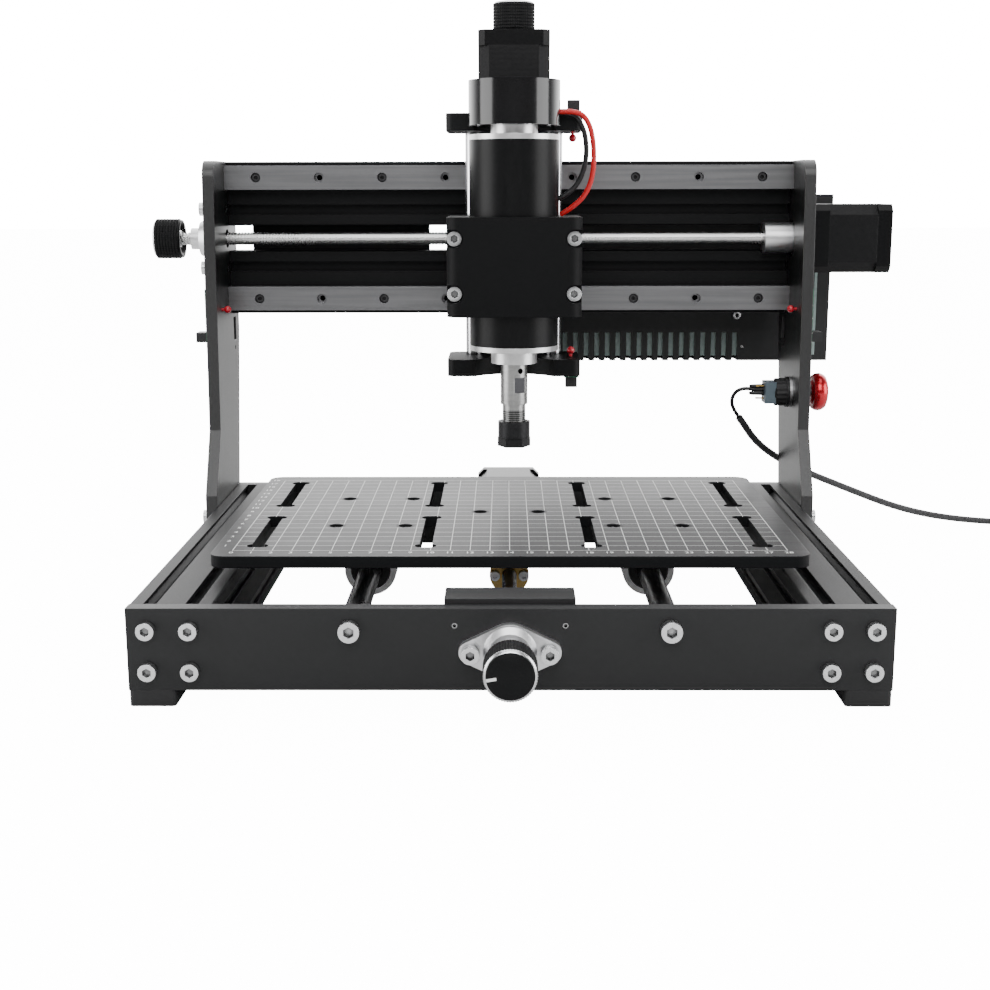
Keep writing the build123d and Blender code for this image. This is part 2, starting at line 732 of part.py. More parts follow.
# ---------------------------------------------------------------- carriage
def carriage_plate():
    z0, z1 = bracket_bottom, carriage_top
    middle = gap_z - 16.5
    plate = block(x_rest - carriage_width / 2, x_rest + carriage_width / 2, carriage_front, carriage_back, z0, z1)
    plate += block(x_rest - striker_width / 2, x_rest + striker_width / 2, carriage_front, carriage_back,
                   middle - striker_height / 2, middle + striker_height / 2)
    return plate


def x_rail_cars():
    """Two rail cars, each an inverted U round its rail."""
    cars = []
    gap = 0.4
    for z in rail_z:
        back = beam_front - car_lift
        car = block(x_rest - car_length / 2, x_rest + car_length / 2, car_front, back,
                    z - car_width / 2, z + car_width / 2)
        car -= block(x_rest - car_length / 2, x_rest + car_length / 2, rail_front - gap, back,
                     z - rail_width / 2 - gap, z + rail_width / 2 + gap)
        cars.append(car)
    return cars


def x_nut():
    """Nut block on the carriage's back, reaching into the gap, and its brass nut."""
    half, tall, slim = 15.0, 24.0, beam_gap - 2
    holder = block(x_rest - half, x_rest + half, carriage_back, beam_front - 0.5, gap_z - tall / 2, gap_z + tall / 2)
    holder += block(x_rest - half, x_rest + half, beam_front - 0.5, beam_front + 5, gap_z - slim / 2, gap_z + slim / 2)
    holder -= rod("X", (x_rest - half, x_screw_y, gap_z), nut_barrel + 2 * slip, 2 * half)
    nut = tube("X", (x_rest - half, x_screw_y, gap_z), nut_barrel, screw_diameter + 2 * slip, 2 * half)
    return [holder, nut]


def z_bracket(z0, hole):
    """A bracket with a round bay for the spindle, holes for the rods and one for the screw."""
    half = bracket_width / 2
    plate = block(x_rest - half, x_rest + half, bracket_front, carriage_front, z0, z0 + bracket_thickness)
    plate = fillet(plate.edges().filter_by(Axis.Z), 5)
    plate -= rod("Z", (x_rest, spindle_axis_y, z0), cap_diameter + 2.0, bracket_thickness)
    for s in (-1, 1):
        plate -= rod("Z", (x_rest + s * z_rod_spacing / 2, z_axis_y, z0), z_rod_diameter + slip, bracket_thickness)
    stem = tip_stem + 2 * touch_gap
    plate -= rod("Z", (x_rest + z_tip_x, z_tip_y, z0), stem, bracket_thickness)
    plate -= rod("Z", (x_rest, z_axis_y, z0), hole, bracket_thickness)
    return plate


def z_brackets():
    return [z_bracket(bracket_z[0], screw_end_bore), z_bracket(bracket_z[1], motor_boss + 2 * slip)]


def z_rods():
    length = carriage_height
    return [rod("Z", (x_rest + s * z_rod_spacing / 2, z_axis_y, bracket_bottom), z_rod_diameter, length - 2)
            for s in (-1, 1)]


def z_motor():
    place = Pos(x_rest, z_axis_y, carriage_top)
    return [place * piece for piece in stepper()]


def z_limit_boards():
    """A board and its connector above the upper bracket and below the lower one."""
    x0, x1 = x_rest + z_tip_x - 4.5, x_rest + z_tip_x + 4.5
    y0, y1 = z_tip_y - 12, z_tip_y + 12
    pieces = []
    for z, up in ((carriage_top, 1), (bracket_bottom, -1)):
        low, high = sorted((z, z + up * limit_board))
        pieces.append(block(x0, x1, y0, y1, low, high))
        low, high = sorted((z + up * limit_board, z + up * (limit_board + 6)))
        pieces.append(block(x0 + 1, x1 - 1, y0, y0 + 8, low, high))
    stem = tip_stem + 2 * touch_gap
    return [p - rod("Z", (x_rest + z_tip_x, z_tip_y, bracket_bottom - 10), stem, carriage_height + 20)
            for p in pieces]


# ---------------------------------------------------------------- Z screw
def z_lead_screw():
    """Screw driven by the motor's own hollow rotor; its thin end comes out at the knob."""
    thick_top = carriage_top - motor_boss_height - 0.5
    screw = rod("Z", (x_rest, z_axis_y, bracket_bottom), screw_diameter, thick_top - bracket_bottom)
    shaft = rod("Z", (x_rest, z_axis_y, thick_top), motor_shaft,
                carriage_top + motor_length + 14 - thick_top)
    return screw + shaft


def z_knob():
    top = carriage_top + motor_length + z_knob_gap + knob_length
    return Pos(x_rest, z_axis_y, top) * knob(motor_shaft)


# ---------------------------------------------------------------- spindle slide
def clamp_seats():
    """The four seats of the clamp screws, at the bottom of their pockets."""
    y = spindle_axis_y - clamp_front_depth + clamp_pocket_depth + 2
    return [(x_rest + s * clamp_screw_x, y, clamp_bottom + z) for s in (-1, 1) for z in clamp_screw_z]


def spindle_clamp_front():
    half = clamp_width / 2
    y0, y1 = spindle_axis_y - clamp_front_depth, spindle_axis_y - clamp_split / 2
    cap = block(x_rest - half, x_rest + half, y0, y1, clamp_bottom, clamp_top)
    front = [e for e in cap.edges().filter_by(Axis.Z) if e.center().Y < y0 + 1]
    cap = fillet(front, clamp_corner)
    cap -= rod("Z", (x_rest, spindle_axis_y, clamp_bottom), spindle_diameter, clamp_height)
    for x, y, z in clamp_seats():
        cap -= rod("Y", (x, y0 - 1, z), clamp_pocket, y - y0 + 1)
        side_x = x_rest + half if x > x_rest else x_rest - half
        low, high = sorted((x, side_x))
        cap -= block(low, high, y0 - 1, y, z - clamp_pocket / 2, z + clamp_pocket / 2)
        cap -= rod("Y", (x, y, z), m5 + 2 * screw_gap, y1 - y)
    return cap


def spindle_clamp_rear():
    half = clamp_width / 2
    y0 = spindle_axis_y + clamp_split / 2
    body = block(x_rest - half, x_rest + half, y0, clamp_back, clamp_bottom, clamp_top)
    body = fillet(body.edges().filter_by(Axis.Z), 1.5)
    body -= rod("Z", (x_rest, spindle_axis_y, clamp_bottom), spindle_diameter, clamp_height)
    for s in (-1, 1):
        body -= rod("Z", (x_rest + s * z_rod_spacing / 2, z_axis_y, clamp_bottom), z_bearing, clamp_height)
        body -= rod("Z", (x_rest + lead_foot_x, lead_y[(s + 1) // 2], clamp_top - 8), lead_diameter + 2 * slip, 8)
    body -= rod("Z", (x_rest, z_axis_y, clamp_bottom), nut_barrel + 2 * slip, clamp_height)
    body -= rod("Z", (x_rest, z_axis_y, clamp_bottom), nut_flange + 2 * slip, nut_flange_thickness)
    for x, y, z in clamp_seats():
        body -= rod("Y", (x, y0, z), m5 + 2 * screw_gap, 14)
    return body


def clamp_screws():
    return [cap_screw(m5, clamp_front_depth - clamp_pocket_depth - 2 + 12, seat, (0, -1, 0))
            for seat in clamp_seats()]


def z_linear_bearings():
    start = clamp_bottom + (clamp_height - z_bearing_length) / 2
    return [tube("Z", (x_rest + s * z_rod_spacing / 2, z_axis_y, start), z_bearing - slip,
                 z_rod_diameter + 2 * slip, z_bearing_length) for s in (-1, 1)]


def z_nut():
    return Pos(x_rest, z_axis_y, clamp_bottom) * flanged_nut(30)


def spindle_motor():
    """The spindle's can and its two end plates, with the lower nose."""
    d, axis = spindle_diameter - slip, (x_rest, spindle_axis_y)
    can = tube("Z", (*axis, spindle_bottom + end_plate), d, d - 2 * spindle_wall,
               spindle_body_length - 2 * end_plate)
    nose = rod("Z", (*axis, spindle_bottom), d, end_plate)
    nose += rod("Z", (*axis, spindle_bottom - boss_height), boss_diameter, boss_height)
    crown = rod("Z", (*axis, spindle_top - end_plate), d, end_plate)
    crown += rod("Z", (*axis, spindle_top), boss_diameter, cap_bottom - spindle_top)
    bore = rod("Z", (*axis, spindle_bottom - boss_height), spindle_shaft + 2 * slip, spindle_body_length + 20)
    return [can, nose - bore, crown - bore]


def spindle_cap():
    """Cup over the fan, open below, with a hole for each lead."""
    start = (x_rest, spindle_axis_y, cap_bottom)
    cap = rod("Z", start, cap_diameter, cap_height)
    cap -= rod("Z", start, cap_diameter - 2 * cap_wall, cap_height - cap_wall)
    floor = tube("Z", start, cap_diameter - 2 * cap_wall, spindle_shaft + 6, cap_wall)
    cap += floor
    for y in lead_y:
        cap -= rod("X", (x_rest + 15, y, lead_top_z), lead_diameter + 2 * slip, 20)
    return cap


def spindle_leads():
    """The two leads that arc from the fan cap down into the clamp."""
    leads = []
    for y in lead_y:
        x = math.sqrt((cap_diameter / 2 - cap_wall) ** 2 - (y - spindle_axis_y) ** 2)
        edge, top = cap_diameter / 2, lead_top_z
        points = [(x + 0.5, top), (edge + 11.75, top + 0.5), (edge + 20.25, top - 7), (edge + 22.75, top - 21),
                  (edge + 21.25, top - 35), (edge + 14.75, top - 45.5), (lead_foot_x, clamp_top + 5),
                  (lead_foot_x, clamp_top - 7)]
        route = [(x_rest + u, y, z) for u, z in points]
        leads.append(cord_tube(route, lead_diameter))
    return leads


def spindle_rotor():
    """Motor shaft and the armature on it."""
    axis = (x_rest, spindle_axis_y)
    low = chuck_top - 14
    shaft = rod("Z", (*axis, low), spindle_shaft, cap_bottom + 12 - low)
    start = (spindle_bottom + spindle_top - armature_length) / 2
    armature = tube("Z", (*axis, start), armature_diameter, spindle_shaft, armature_length)
    return [shaft, armature]


def collet_chuck():
    """Chuck body: a thick shank with a wrench flat, then a threaded neck with the collet's seat."""
    axis = (x_rest, spindle_axis_y)
    body = rod("Z", (*axis, chuck_top - chuck_length), chuck_diameter, chuck_length)
    body += rod("Z", (*axis, neck_bottom), chuck_neck, chuck_neck_length)
    body -= rod("Z", (*axis, chuck_top - 15), spindle_shaft + slip, 15)
    body -= rod("Z", (*axis, neck_bottom), collet_outer, collet_length + 1)
    flat = spindle_axis_y - chuck_diameter / 2 + 1.0
    side = rod("Y", (x_rest, spindle_axis_y - 10, chuck_top - 4), m3 + 2 * screw_gap, 10)
    side += block(x_rest - 8, x_rest + 8, flat - 5, flat, chuck_top - 17, chuck_top - 8)
    return body - side.rotate(Axis((*axis, 0), (0, 0, 1)), chuck_turn)


def collet_nut():
    """Round clamping nut with a hexagon below, open for the cutter."""
    top = neck_bottom + nut_ring
    axis = (x_rest, spindle_axis_y)
    nut = rod("Z", (*axis, neck_bottom), nut_outer, nut_ring)
    hexagon = Pos(*axis, neck_bottom - nut_hex_height) * extrude(
        RegularPolygon(nut_hex / math.sqrt(3), 6), nut_hex_height)
    nut += hexagon
    nut -= rod("Z", (*axis, neck_bottom), chuck_neck + 2 * slip, top - neck_bottom)
    nut -= rod("Z", (*axis, neck_bottom - nut_hex_height), collet_outer + 2 * slip, nut_hex_height)
    return nut


def collet():
    axis = (x_rest, spindle_axis_y)
    low = neck_bottom - nut_hex_height + 0.8
    sleeve = rod("Z", (*axis, low), collet_outer - slip, collet_length + nut_hex_height - 0.8)
    return sleeve - rod("Z", (*axis, low), collet_bore, collet_length + nut_hex_height)


# ---------------------------------------------------------------- limit switches
def x_limit_boards():
    """Board and connector on each side plate's outer face."""
    pieces = []
    for s in (-1, 1):
        y0, y1, z0, z1 = x_tip_y - 9, x_tip_y + 9, base_top + 91, base_top + 131
        low, high = sorted((s * plate_out, s * (plate_out + limit_board)))
        stem = rod("X", (low - 1, x_tip_y, x_tip_z), tip_stem + 2 * touch_gap, limit_board + 2)
        pieces.append(block(low, high, y0, y1, z0, z1) - stem)
        low, high = sorted((s * (plate_out + limit_board), s * (plate_out + limit_board + 7)))
        pieces.append(block(low, high, y0 + 3, y1 - 3, z0 + 7, z0 + 13))
    return pieces


def limit_tip(start, inward, reach):
    """A plunger whose round nose points inward, with its thin stem behind it."""
    nose = Sphere(tip_diameter / 2)
    stem = Pos(0, 0, -reach) * Cylinder(tip_stem / 2, reach, align=BASED)
    return facing(start, inward) * (nose + stem)


def x_limit_tip(s):
    start = (s * (plate_in - 3.7), x_tip_y, x_tip_z)
    return limit_tip(start, (-s, 0, 0), 3.7 + plate_thickness)


def z_limit_tip(upper):
    if upper:
        return limit_tip((x_rest + z_tip_x, z_tip_y, bracket_z[1] - 3.7), (0, 0, -1), 3.7 + bracket_thickness)
    return limit_tip((x_rest + z_tip_x, z_tip_y, bracket_z[0] + bracket_thickness + 3.7), (0, 0, 1),
                     3.7 + bracket_thickness)


# ---------------------------------------------------------------- stop button
def estop_switch():
    """Threaded barrel with its bezel, the nut inside the plate, and the contact block."""
    at = (stop_y, stop_z)
    stem_bore = stop_stem + 2 * slip
    barrel = rod("X", (plate_in - 10, *at), stop_barrel, 10 + plate_thickness)
    barrel += rod("X", (plate_out, *at), 20, 1.5)
    barrel -= rod("X", (plate_in - 10, *at), stem_bore, 12 + plate_thickness)
    nut = tube("X", (plate_in - 3, *at), 19.5, stop_barrel + slip, 3)
    contact = block(plate_in - 17, plate_in - 10, stop_y - 6.75, stop_y + 6.75, stop_z - 6.75, stop_z + 6.75)
    tabs = [block(plate_in - 22, plate_in - 17, stop_y - 1.5, stop_y + 1.5, stop_z + dz - 0.4, stop_z + dz + 0.4)
            for dz in (-4, 4)]
    return [barrel, nut, contact, *tabs]


def estop_stem():
    return rod("X", (plate_in - stop_stem_root, stop_y, stop_z), stop_stem, stop_stem_length)


def estop_head():
    """Mushroom head on the stem: a neck, a rounded rim and a slightly domed face."""
    r, under, shoulder, crown = stop_head / 2, 1.2, 9.5, 11.5
    side_x, rise = r - 2.2, crown - shoulder
    dome = (side_x ** 2 + rise ** 2) / (2 * rise)
    half = math.asin(side_x / dome) / 2
    middle = (dome * math.sin(half), crown - dome * (1 - math.cos(half)))
    outline = make_face([
        Line((0, 0), (6.5, 0)), Line((6.5, 0), (8, under)), Line((8, under), (r - 1.5, under)),
        ThreePointArc((r - 1.5, under), (r, 5.0), (side_x, shoulder)),
        ThreePointArc((side_x, shoulder), middle, (0, crown)), Line((0, crown), (0, 0))])
    head = revolve(Plane.XZ * outline, Axis.Z)
    head -= Cylinder(stop_stem / 2 + slip, 5, align=BASED)
    return facing((plate_in + 12.5, stop_y, stop_z), (1, 0, 0)) * head


# ---------------------------------------------------------------- control box
def control_box_cover():
    """Shell open at the back, its front wall slotted along the bottom edge."""
    y1 = box_front + box_depth - box_wall
    top = box_bottom + box_height
    shell = block(box_left, box_right, box_front, y1, box_bottom, top)
    shell -= block(box_left + box_wall, box_right - box_wall, box_front + box_wall, y1,
                   box_bottom + box_wall, top - box_wall)
    for i in range(vent_count):
        x = vent_last - i * vent_pitch
        shell -= block(x - vent_width / 2, x + vent_width / 2, box_front - 1, box_front + 12,
                       box_bottom - 1, box_bottom + box_wall + vent_height)
    return shell


def control_box_back():
    """Lid on the back of the shell."""
    y1 = box_front + box_depth
    return block(box_left, box_right, y1 - box_wall, y1, box_bottom, box_bottom + box_height)


def box_mounts():
    """Spacers between the beams and the box."""
    return [rod("Y", (x, beam_back, z), 10, box_front - beam_back)
            for x in (box_left + 25, box_right - 75) for z in (beam_z[0] + side - 10, beam_z[1] + 10)]


def control_board():
    y0 = box_front + box_wall + 11
    margin = box_wall + 2
    return block(box_left + margin, box_right - margin, y0, y0 + limit_board,
                 box_bottom + margin, box_bottom + box_height - margin)


# ---------------------------------------------------------------- cord
def cord_tube(points, diameter):
    """A tube of straight runs joined by arcs as large as the runs allow."""
    places = [Vector(*p) for p in points]
    runs = [b - a for a, b in zip(places, places[1:])]
    radii = []
    for a, b in zip(runs, runs[1:]):
        half_turn = math.radians(a.get_angle(b)) / 2
        radii.append(0.45 * min(a.length, b.length) / math.tan(half_turn))
    path = FilletPolyline(*places, radius=radii)
    return sweep(Plane(origin=path @ 0, z_dir=path % 0) * Circle(diameter / 2), path)


wire_route = [(163.0, 272.0, 114.0), (157.0, 272.0, 114.0), (150.5, 272.1, 114.9), (145.2, 272.8, 112.6),
              (142.9, 274.4, 107.0), (144.6, 276.5, 100.8), (149.0, 279.0, 95.0)]
cord_route = [(149.0, 279.0, 95.0), (153.4, 281.5, 89.2), (159.6, 288.5, 80.6), (169.4, 299.2, 71.0),
              (183.6, 309.6, 61.0), (199.2, 318.0, 52.6), (217.4, 326.8, 44.2), (240.8, 338.6, 33.6),
              (268.0, 351.0, 21.6), (296.0, 363.0, 12.2), (325.0, 372.0, 6.2), (352.0, 376.5, 3.2),
              (378.0, 376.0, 2.4), (396.0, 373.6, 2.3)]


def estop_cord():
    return [cord_tube(wire_route, wire_diameter), cord_tube(cord_route, cord_diameter)]


def estop_cord_coil():
    """Outer shape of the coiled spare length, lying on the floor."""
    return tube("Z", (coil_x, coil_y, 0), coil_middle + coil_band, coil_middle - coil_band, coil_band)


def estop_cord_plug():
    """Two-way plug lying on the coil."""
    return block(coil_x - 10, coil_x + 2, coil_y + coil_middle / 2 - 3.8, coil_y + coil_middle / 2 + 3.7,
                 coil_band, coil_band + 5.8)


# ---------------------------------------------------------------- all pieces
def pieces():
    return {
        "front_panel": front_panel(), "rear_panel": rear_panel(), "side_profiles": side_profiles(),
        "feet": feet(), "frame_cap_screws": frame_cap_screws(), "y_rods": y_rods(),
        "y_limit_housings": y_limit_housings(), "side_plate_left": side_plate_left(),
        "side_plate_right": side_plate_right(), "gantry_beams": gantry_beams(),
        "beam_joining_plate": beam_joining_plate(), "x_rails": x_rails(), "x_rail_screws": x_rail_screws(),
        "bearing_flanges": bearing_flanges(), "frame_motors": frame_motors(),
        "x_motor_spacer": x_motor_spacer(), "x_limit_boards": x_limit_boards(),
        "control_box_cover": [control_box_cover(), *box_mounts()], "control_box_back": control_box_back(),
        "control_board": control_board(), "estop_switch": estop_switch(),
        "bed_plate": bed_plate(), "bed_bearings": bed_bearings(), "y_nut": y_nut(),
        "y_lead_screw": y_lead_screw(), "y_knob": y_knob(), "y_coupling": y_coupling(),
        "x_lead_screw": x_lead_screw(), "x_knob": x_knob(), "x_coupling": x_coupling(),
        "carriage_plate": carriage_plate(), "x_rail_cars": x_rail_cars(), "x_nut": x_nut(),
        "z_brackets": z_brackets(), "z_rods": z_rods(), "z_motor": z_motor(),
        "z_limit_boards": z_limit_boards(), "z_lead_screw": z_lead_screw(), "z_knob": z_knob(),
        "spindle_clamp_rear": spindle_clamp_rear(), "spindle_clamp_front": spindle_clamp_front(),
        "clamp_screws": clamp_screws(), "z_linear_bearings": z_linear_bearings(), "z_nut": z_nut(),
        "spindle_motor": spindle_motor(), "spindle_cap": spindle_cap(), "spindle_leads": spindle_leads(),
        "spindle_rotor": spindle_rotor(), "collet_chuck": collet_chuck(), "collet_nut": collet_nut(),
        "collet": collet(), "estop_stem": estop_stem(), "estop_head": estop_head(),
        "x_limit_tip_left": x_limit_tip(-1), "x_limit_tip_right": x_limit_tip(1),
        "z_limit_tip_upper": z_limit_tip(True), "z_limit_tip_lower": z_limit_tip(False),
        "estop_cord": estop_cord(), "estop_cord_coil": estop_cord_coil(),
        "estop_cord_plug": estop_cord_plug(),
    }


def solids_of(made):
    """Every solid of a piece or of a list of pieces, in its final place."""
    group = made if isinstance(made, (list, tuple)) else [made]
    return [shift * solid for item in group for solid in item.solids()]


os.makedirs("parts", exist_ok=True)
for name, made in pieces().items():
    export_step(Compound(children=solids_of(made)), f"parts/{name}.step")
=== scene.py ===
import bpy
import bmesh
import math
from mathutils import Matrix, Vector


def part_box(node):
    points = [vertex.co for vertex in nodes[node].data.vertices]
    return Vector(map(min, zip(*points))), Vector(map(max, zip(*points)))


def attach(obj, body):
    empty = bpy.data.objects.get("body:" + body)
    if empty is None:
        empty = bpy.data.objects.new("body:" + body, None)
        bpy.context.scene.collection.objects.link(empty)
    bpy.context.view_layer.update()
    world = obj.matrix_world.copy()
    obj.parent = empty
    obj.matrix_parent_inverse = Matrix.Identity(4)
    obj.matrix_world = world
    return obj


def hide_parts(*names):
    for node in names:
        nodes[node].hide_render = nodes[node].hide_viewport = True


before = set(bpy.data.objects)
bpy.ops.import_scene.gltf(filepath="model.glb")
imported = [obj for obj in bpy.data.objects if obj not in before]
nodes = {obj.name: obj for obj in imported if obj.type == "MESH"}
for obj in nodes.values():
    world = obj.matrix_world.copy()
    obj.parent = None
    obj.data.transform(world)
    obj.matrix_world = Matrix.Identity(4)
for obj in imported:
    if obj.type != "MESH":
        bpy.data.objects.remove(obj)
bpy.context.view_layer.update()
cad_middle_x = (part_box("side_plate_left")[0].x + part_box("side_plate_right")[1].x) / 2
FULL = 2 * math.pi
GRID_HALF_X, GRID_HALF_Y, GRID_PITCH = 0.140, 0.090, 0.010
CLAMP_X, CLAMP_APART_X, CLAMP_APART_Y, MIDDLE_CLAMP_X = 0.075, 0.01875, 0.035, 0.01625
SCREW_SHANK, X_THREAD_END, Y_THREAD_END = 0.0025, 0.16775, 0.12175
MOTOR_BELL, MOTOR_STACK = 0.009, 0.030


# ---------------------------------------------------------------- camera
def aim_camera(place, lens, pitch, yaw, roll):
    """A camera at place; pitch looks down, yaw turns to the left, roll tips it, all in degrees."""
    pitch, yaw, roll = (math.radians(v) for v in (pitch, yaw, roll))
    ahead = Vector((-math.sin(yaw) * math.cos(pitch), math.cos(yaw) * math.cos(pitch), -math.sin(pitch)))
    right = Vector((math.cos(yaw), math.sin(yaw), 0))
    over = right.cross(ahead)
    side = math.cos(roll) * right + math.sin(roll) * over
    high = -math.sin(roll) * right + math.cos(roll) * over
    data = bpy.data.cameras.new("bench_camera")
    data.lens, data.sensor_width = lens, 36.0
    data.clip_start, data.clip_end = 0.01, 50.0
    camera = bpy.data.objects.new("bench_camera", data)
    bpy.context.scene.collection.objects.link(camera)
    turn = Matrix((side, high, -ahead)).transposed()
    camera.matrix_world = Matrix.Translation(place) @ turn.to_4x4()
    bpy.context.scene.camera = camera


aim_camera((-0.00895, -0.80917, 0.23811), 52.531, 11.860, 0.418, -0.106)


# ---------------------------------------------------------------- node trees
class Wire:
    """A socket of a node tree that takes part in plain arithmetic."""

    def __init__(self, tree, socket):
        self.tree, self.socket = tree, socket

    def _math(self, operation, *values):
        return self.tree.add("ShaderNodeMath", {"operation": operation}, dict(enumerate(values)))

    def __add__(self, other):
        return self._math("ADD", self, other)

    def __sub__(self, other):
        return self._math("SUBTRACT", self, other)

    def __rsub__(self, other):
        return self._math("SUBTRACT", other, self)

    def __mul__(self, other):
        return self._math("MULTIPLY", self, other)

    def __truediv__(self, other):
        return self._math("DIVIDE", self, other)

    def __lt__(self, other):
        return self._math("LESS_THAN", self, other)

    def __gt__(self, other):
        return self._math("GREATER_THAN", self, other)

    def __abs__(self):
        return self._math("ABSOLUTE", self)

    __radd__ = __add__
    __rmul__ = __mul__

    def wave(self):
        return self._math("SINE", self)

    def part(self):
        return self._math("FRACT", self)

    def most(self, other):
        return self._math("MAXIMUM", self, other)

    def least(self, other):
        return self._math("MINIMUM", self, other)

    def root(self):
        return self._math("SQRT", self)

    def cosine(self):
        return self._math("COSINE", self)


class Tree:
    """Adds nodes to a node tree and links them."""

    def __init__(self, tree):
        self.tree = tree

    def add(self, kind, settings=None, inputs=None, output=0):
        node = self.tree.nodes.new(kind)
        for name, value in (settings or {}).items():
            if name == "stops":
                ramp = node.color_ramp
                while len(ramp.elements) < len(value):
                    ramp.elements.new(0.5)
                for element, (place, colour) in zip(ramp.elements, value):
                    element.position, element.color = place, (*colour, 1)
            else:
                setattr(node, name, value)
        for key, value in (inputs or {}).items():
            if isinstance(value, Wire):
                self.tree.links.new(value.socket, node.inputs[key])
            else:
                node.inputs[key].default_value = value
        return Wire(self, node.outputs[output])

    def parts(self, vector):
        split = self.add("ShaderNodeSeparateXYZ", inputs={0: vector})
        return [Wire(self, split.socket.node.outputs[i]) for i in range(3)]


# ---------------------------------------------------------------- finishes
class Finish(Tree):
    """A material on the object's own coordinates."""

    def __init__(self, name, **constants):
        self.material = bpy.data.materials.new(name)
        self.material.use_nodes = True
        super().__init__(self.material.node_tree)
        self.shader = self.tree.nodes["Principled BSDF"]
        for socket, value in constants.items():
            self.shader.inputs[socket.replace("_", " ")].default_value = value
        self.place = self.add("ShaderNodeTexCoord", output="Object")
        self.x, self.y, self.z = self.parts(self.place)

    def noise(self, scale, detail=3.0, stretch=(1, 1, 1)):
        where = self.add("ShaderNodeMapping", inputs={"Vector": self.place, "Scale": stretch})
        return self.add("ShaderNodeTexNoise", inputs={"Vector": where, "Scale": scale, "Detail": detail})

    def blend(self, mask, low, high):
        return self.add("ShaderNodeMix", {"data_type": "RGBA"}, {0: mask, 6: colour(low), 7: colour(high)}, 2)

    def feed(self, socket, value):
        if isinstance(value, Wire):
            self.tree.links.new(value.socket, self.shader.inputs[socket])
        else:
            self.shader.inputs[socket].default_value = value

    def bump(self, height, distance, strength=0.5, edge=0.0):
        inputs = {"Strength": strength, "Distance": distance, "Height": height}
        if edge:
            inputs["Normal"] = self.add("ShaderNodeBevel", {"samples": 4}, {"Radius": edge})
        self.feed("Normal", self.add("ShaderNodeBump", inputs=inputs))


def colour(value):
    return value if isinstance(value, Wire) else (*value, 1)


def blasted_black(name, dark=(0.0030, 0.0031, 0.0034), light=(0.0060, 0.0062, 0.0068), rough=0.40,
                  shine=0.16):
    """Fine-blasted, black anodised aluminium with a slightly uneven dye and softly broken edges."""
    f = Finish(name, Specular_IOR_Level=shine)
    cloud, grain = f.noise(9.0), f.noise(1400.0, 2.0)
    f.feed("Base Color", f.blend(cloud, dark, light))
    f.feed("Roughness", rough + 0.10 * cloud + 0.10 * grain)
    f.bump(grain, 0.00006, 0.35, edge=0.0005)
    return f


def moulded_black(name, rough=0.5):
    f = Finish(name, IOR=1.46)
    cloud, grain = f.noise(30.0), f.noise(900.0, 3.0)
    f.feed("Base Color", f.blend(cloud, (0.010, 0.010, 0.011), (0.020, 0.020, 0.021)))
    f.feed("Roughness", rough + 0.12 * grain)
    f.bump(grain, 0.00005, 0.4, edge=0.0004)
    return f


def drawn_metal(name, dark, light, rough, stretch, scale=220.0, metallic=1.0, painted_shade_reach=0.0025):
    """Metal with fine lines along one axis; within painted_shade_reach of other surfaces its colour darkens
    as painted shade.
    """
    f = Finish(name, Metallic=metallic)
    lines, cloud = f.noise(scale, 4.0, stretch), f.noise(14.0)
    tone = f.blend(lines, dark, light)
    if painted_shade_reach:
        # Painted shade: by ambient occlusion the colour falls towards near-black in corners and recesses.
        openness_for_painted_shade = f.add("ShaderNodeAmbientOcclusion", {"samples": 6}, {"Distance": painted_shade_reach}, 1)
        tone = f.blend(1 - openness_for_painted_shade * openness_for_painted_shade, tone, (0.015, 0.015, 0.015))
    f.feed("Base Color", tone)
    f.feed("Roughness", rough + 0.10 * lines + 0.08 * cloud)
    f.bump(lines, 0.00003, 0.3, edge=0.0003)
    return f


def gloss(name, dark, light, rough, metallic=0.0, coat=0.5):
    f = Finish(name, Metallic=metallic, Coat_Weight=coat, Coat_Roughness=0.06, IOR=1.5)
    cloud, grain = f.noise(40.0), f.noise(600.0, 2.0)
    f.feed("Base Color", f.blend(cloud, dark, light))
    f.feed("Roughness", rough + 0.06 * grain)
    f.bump(grain, 0.00002, 0.2)
    return f


def bed_finish():
    """Black bed; brushed coat and ten-millimetre grid on its top, matt black round the clamp holes."""
    f = blasted_black("bed_black_and_grid", (0.006, 0.0063, 0.007), (0.012, 0.0125, 0.0135), 0.34, 0.10)
    f.shader.inputs["Coat Roughness"].default_value = 0.30
    low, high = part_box("bed_plate")
    middle = (low + high) / 2
    half_line, print_depth, ring = 0.00017, 0.0004, 0.0052
    u, v = f.x - middle.x, f.y - middle.y

    def lines(value):
        return abs((value / GRID_PITCH + 0.5).part() - 0.5) < half_line / GRID_PITCH

    top = f.z > high.z - print_depth
    brushed = f.noise(240.0, 4.0, (0.02, 1, 1))
    across, away = abs(abs(abs(u) - CLAMP_X) - CLAMP_APART_X), abs(abs(v) - CLAMP_APART_Y)
    inner = abs(abs(u) - MIDDLE_CLAMP_X)
    side_rings = (across * across + away * away).root() < ring
    rings = side_rings.most((inner * inner + v * v).root() < ring)
    f.feed("Coat Weight", top * (1 - rings) * (0.02 + 0.26 * brushed))
    inside = (abs(u) < GRID_HALF_X + half_line) * (abs(v) < GRID_HALF_Y + half_line) * top
    grid = lines(u).most(lines(v)) * inside * (1 - rings)
    wear = 0.75 + 0.25 * f.noise(160.0)
    base = f.shader.inputs["Base Color"].links[0].from_socket
    f.feed("Base Color", f.blend(grid * wear, Wire(f, base), (0.80, 0.80, 0.78)))
    return f


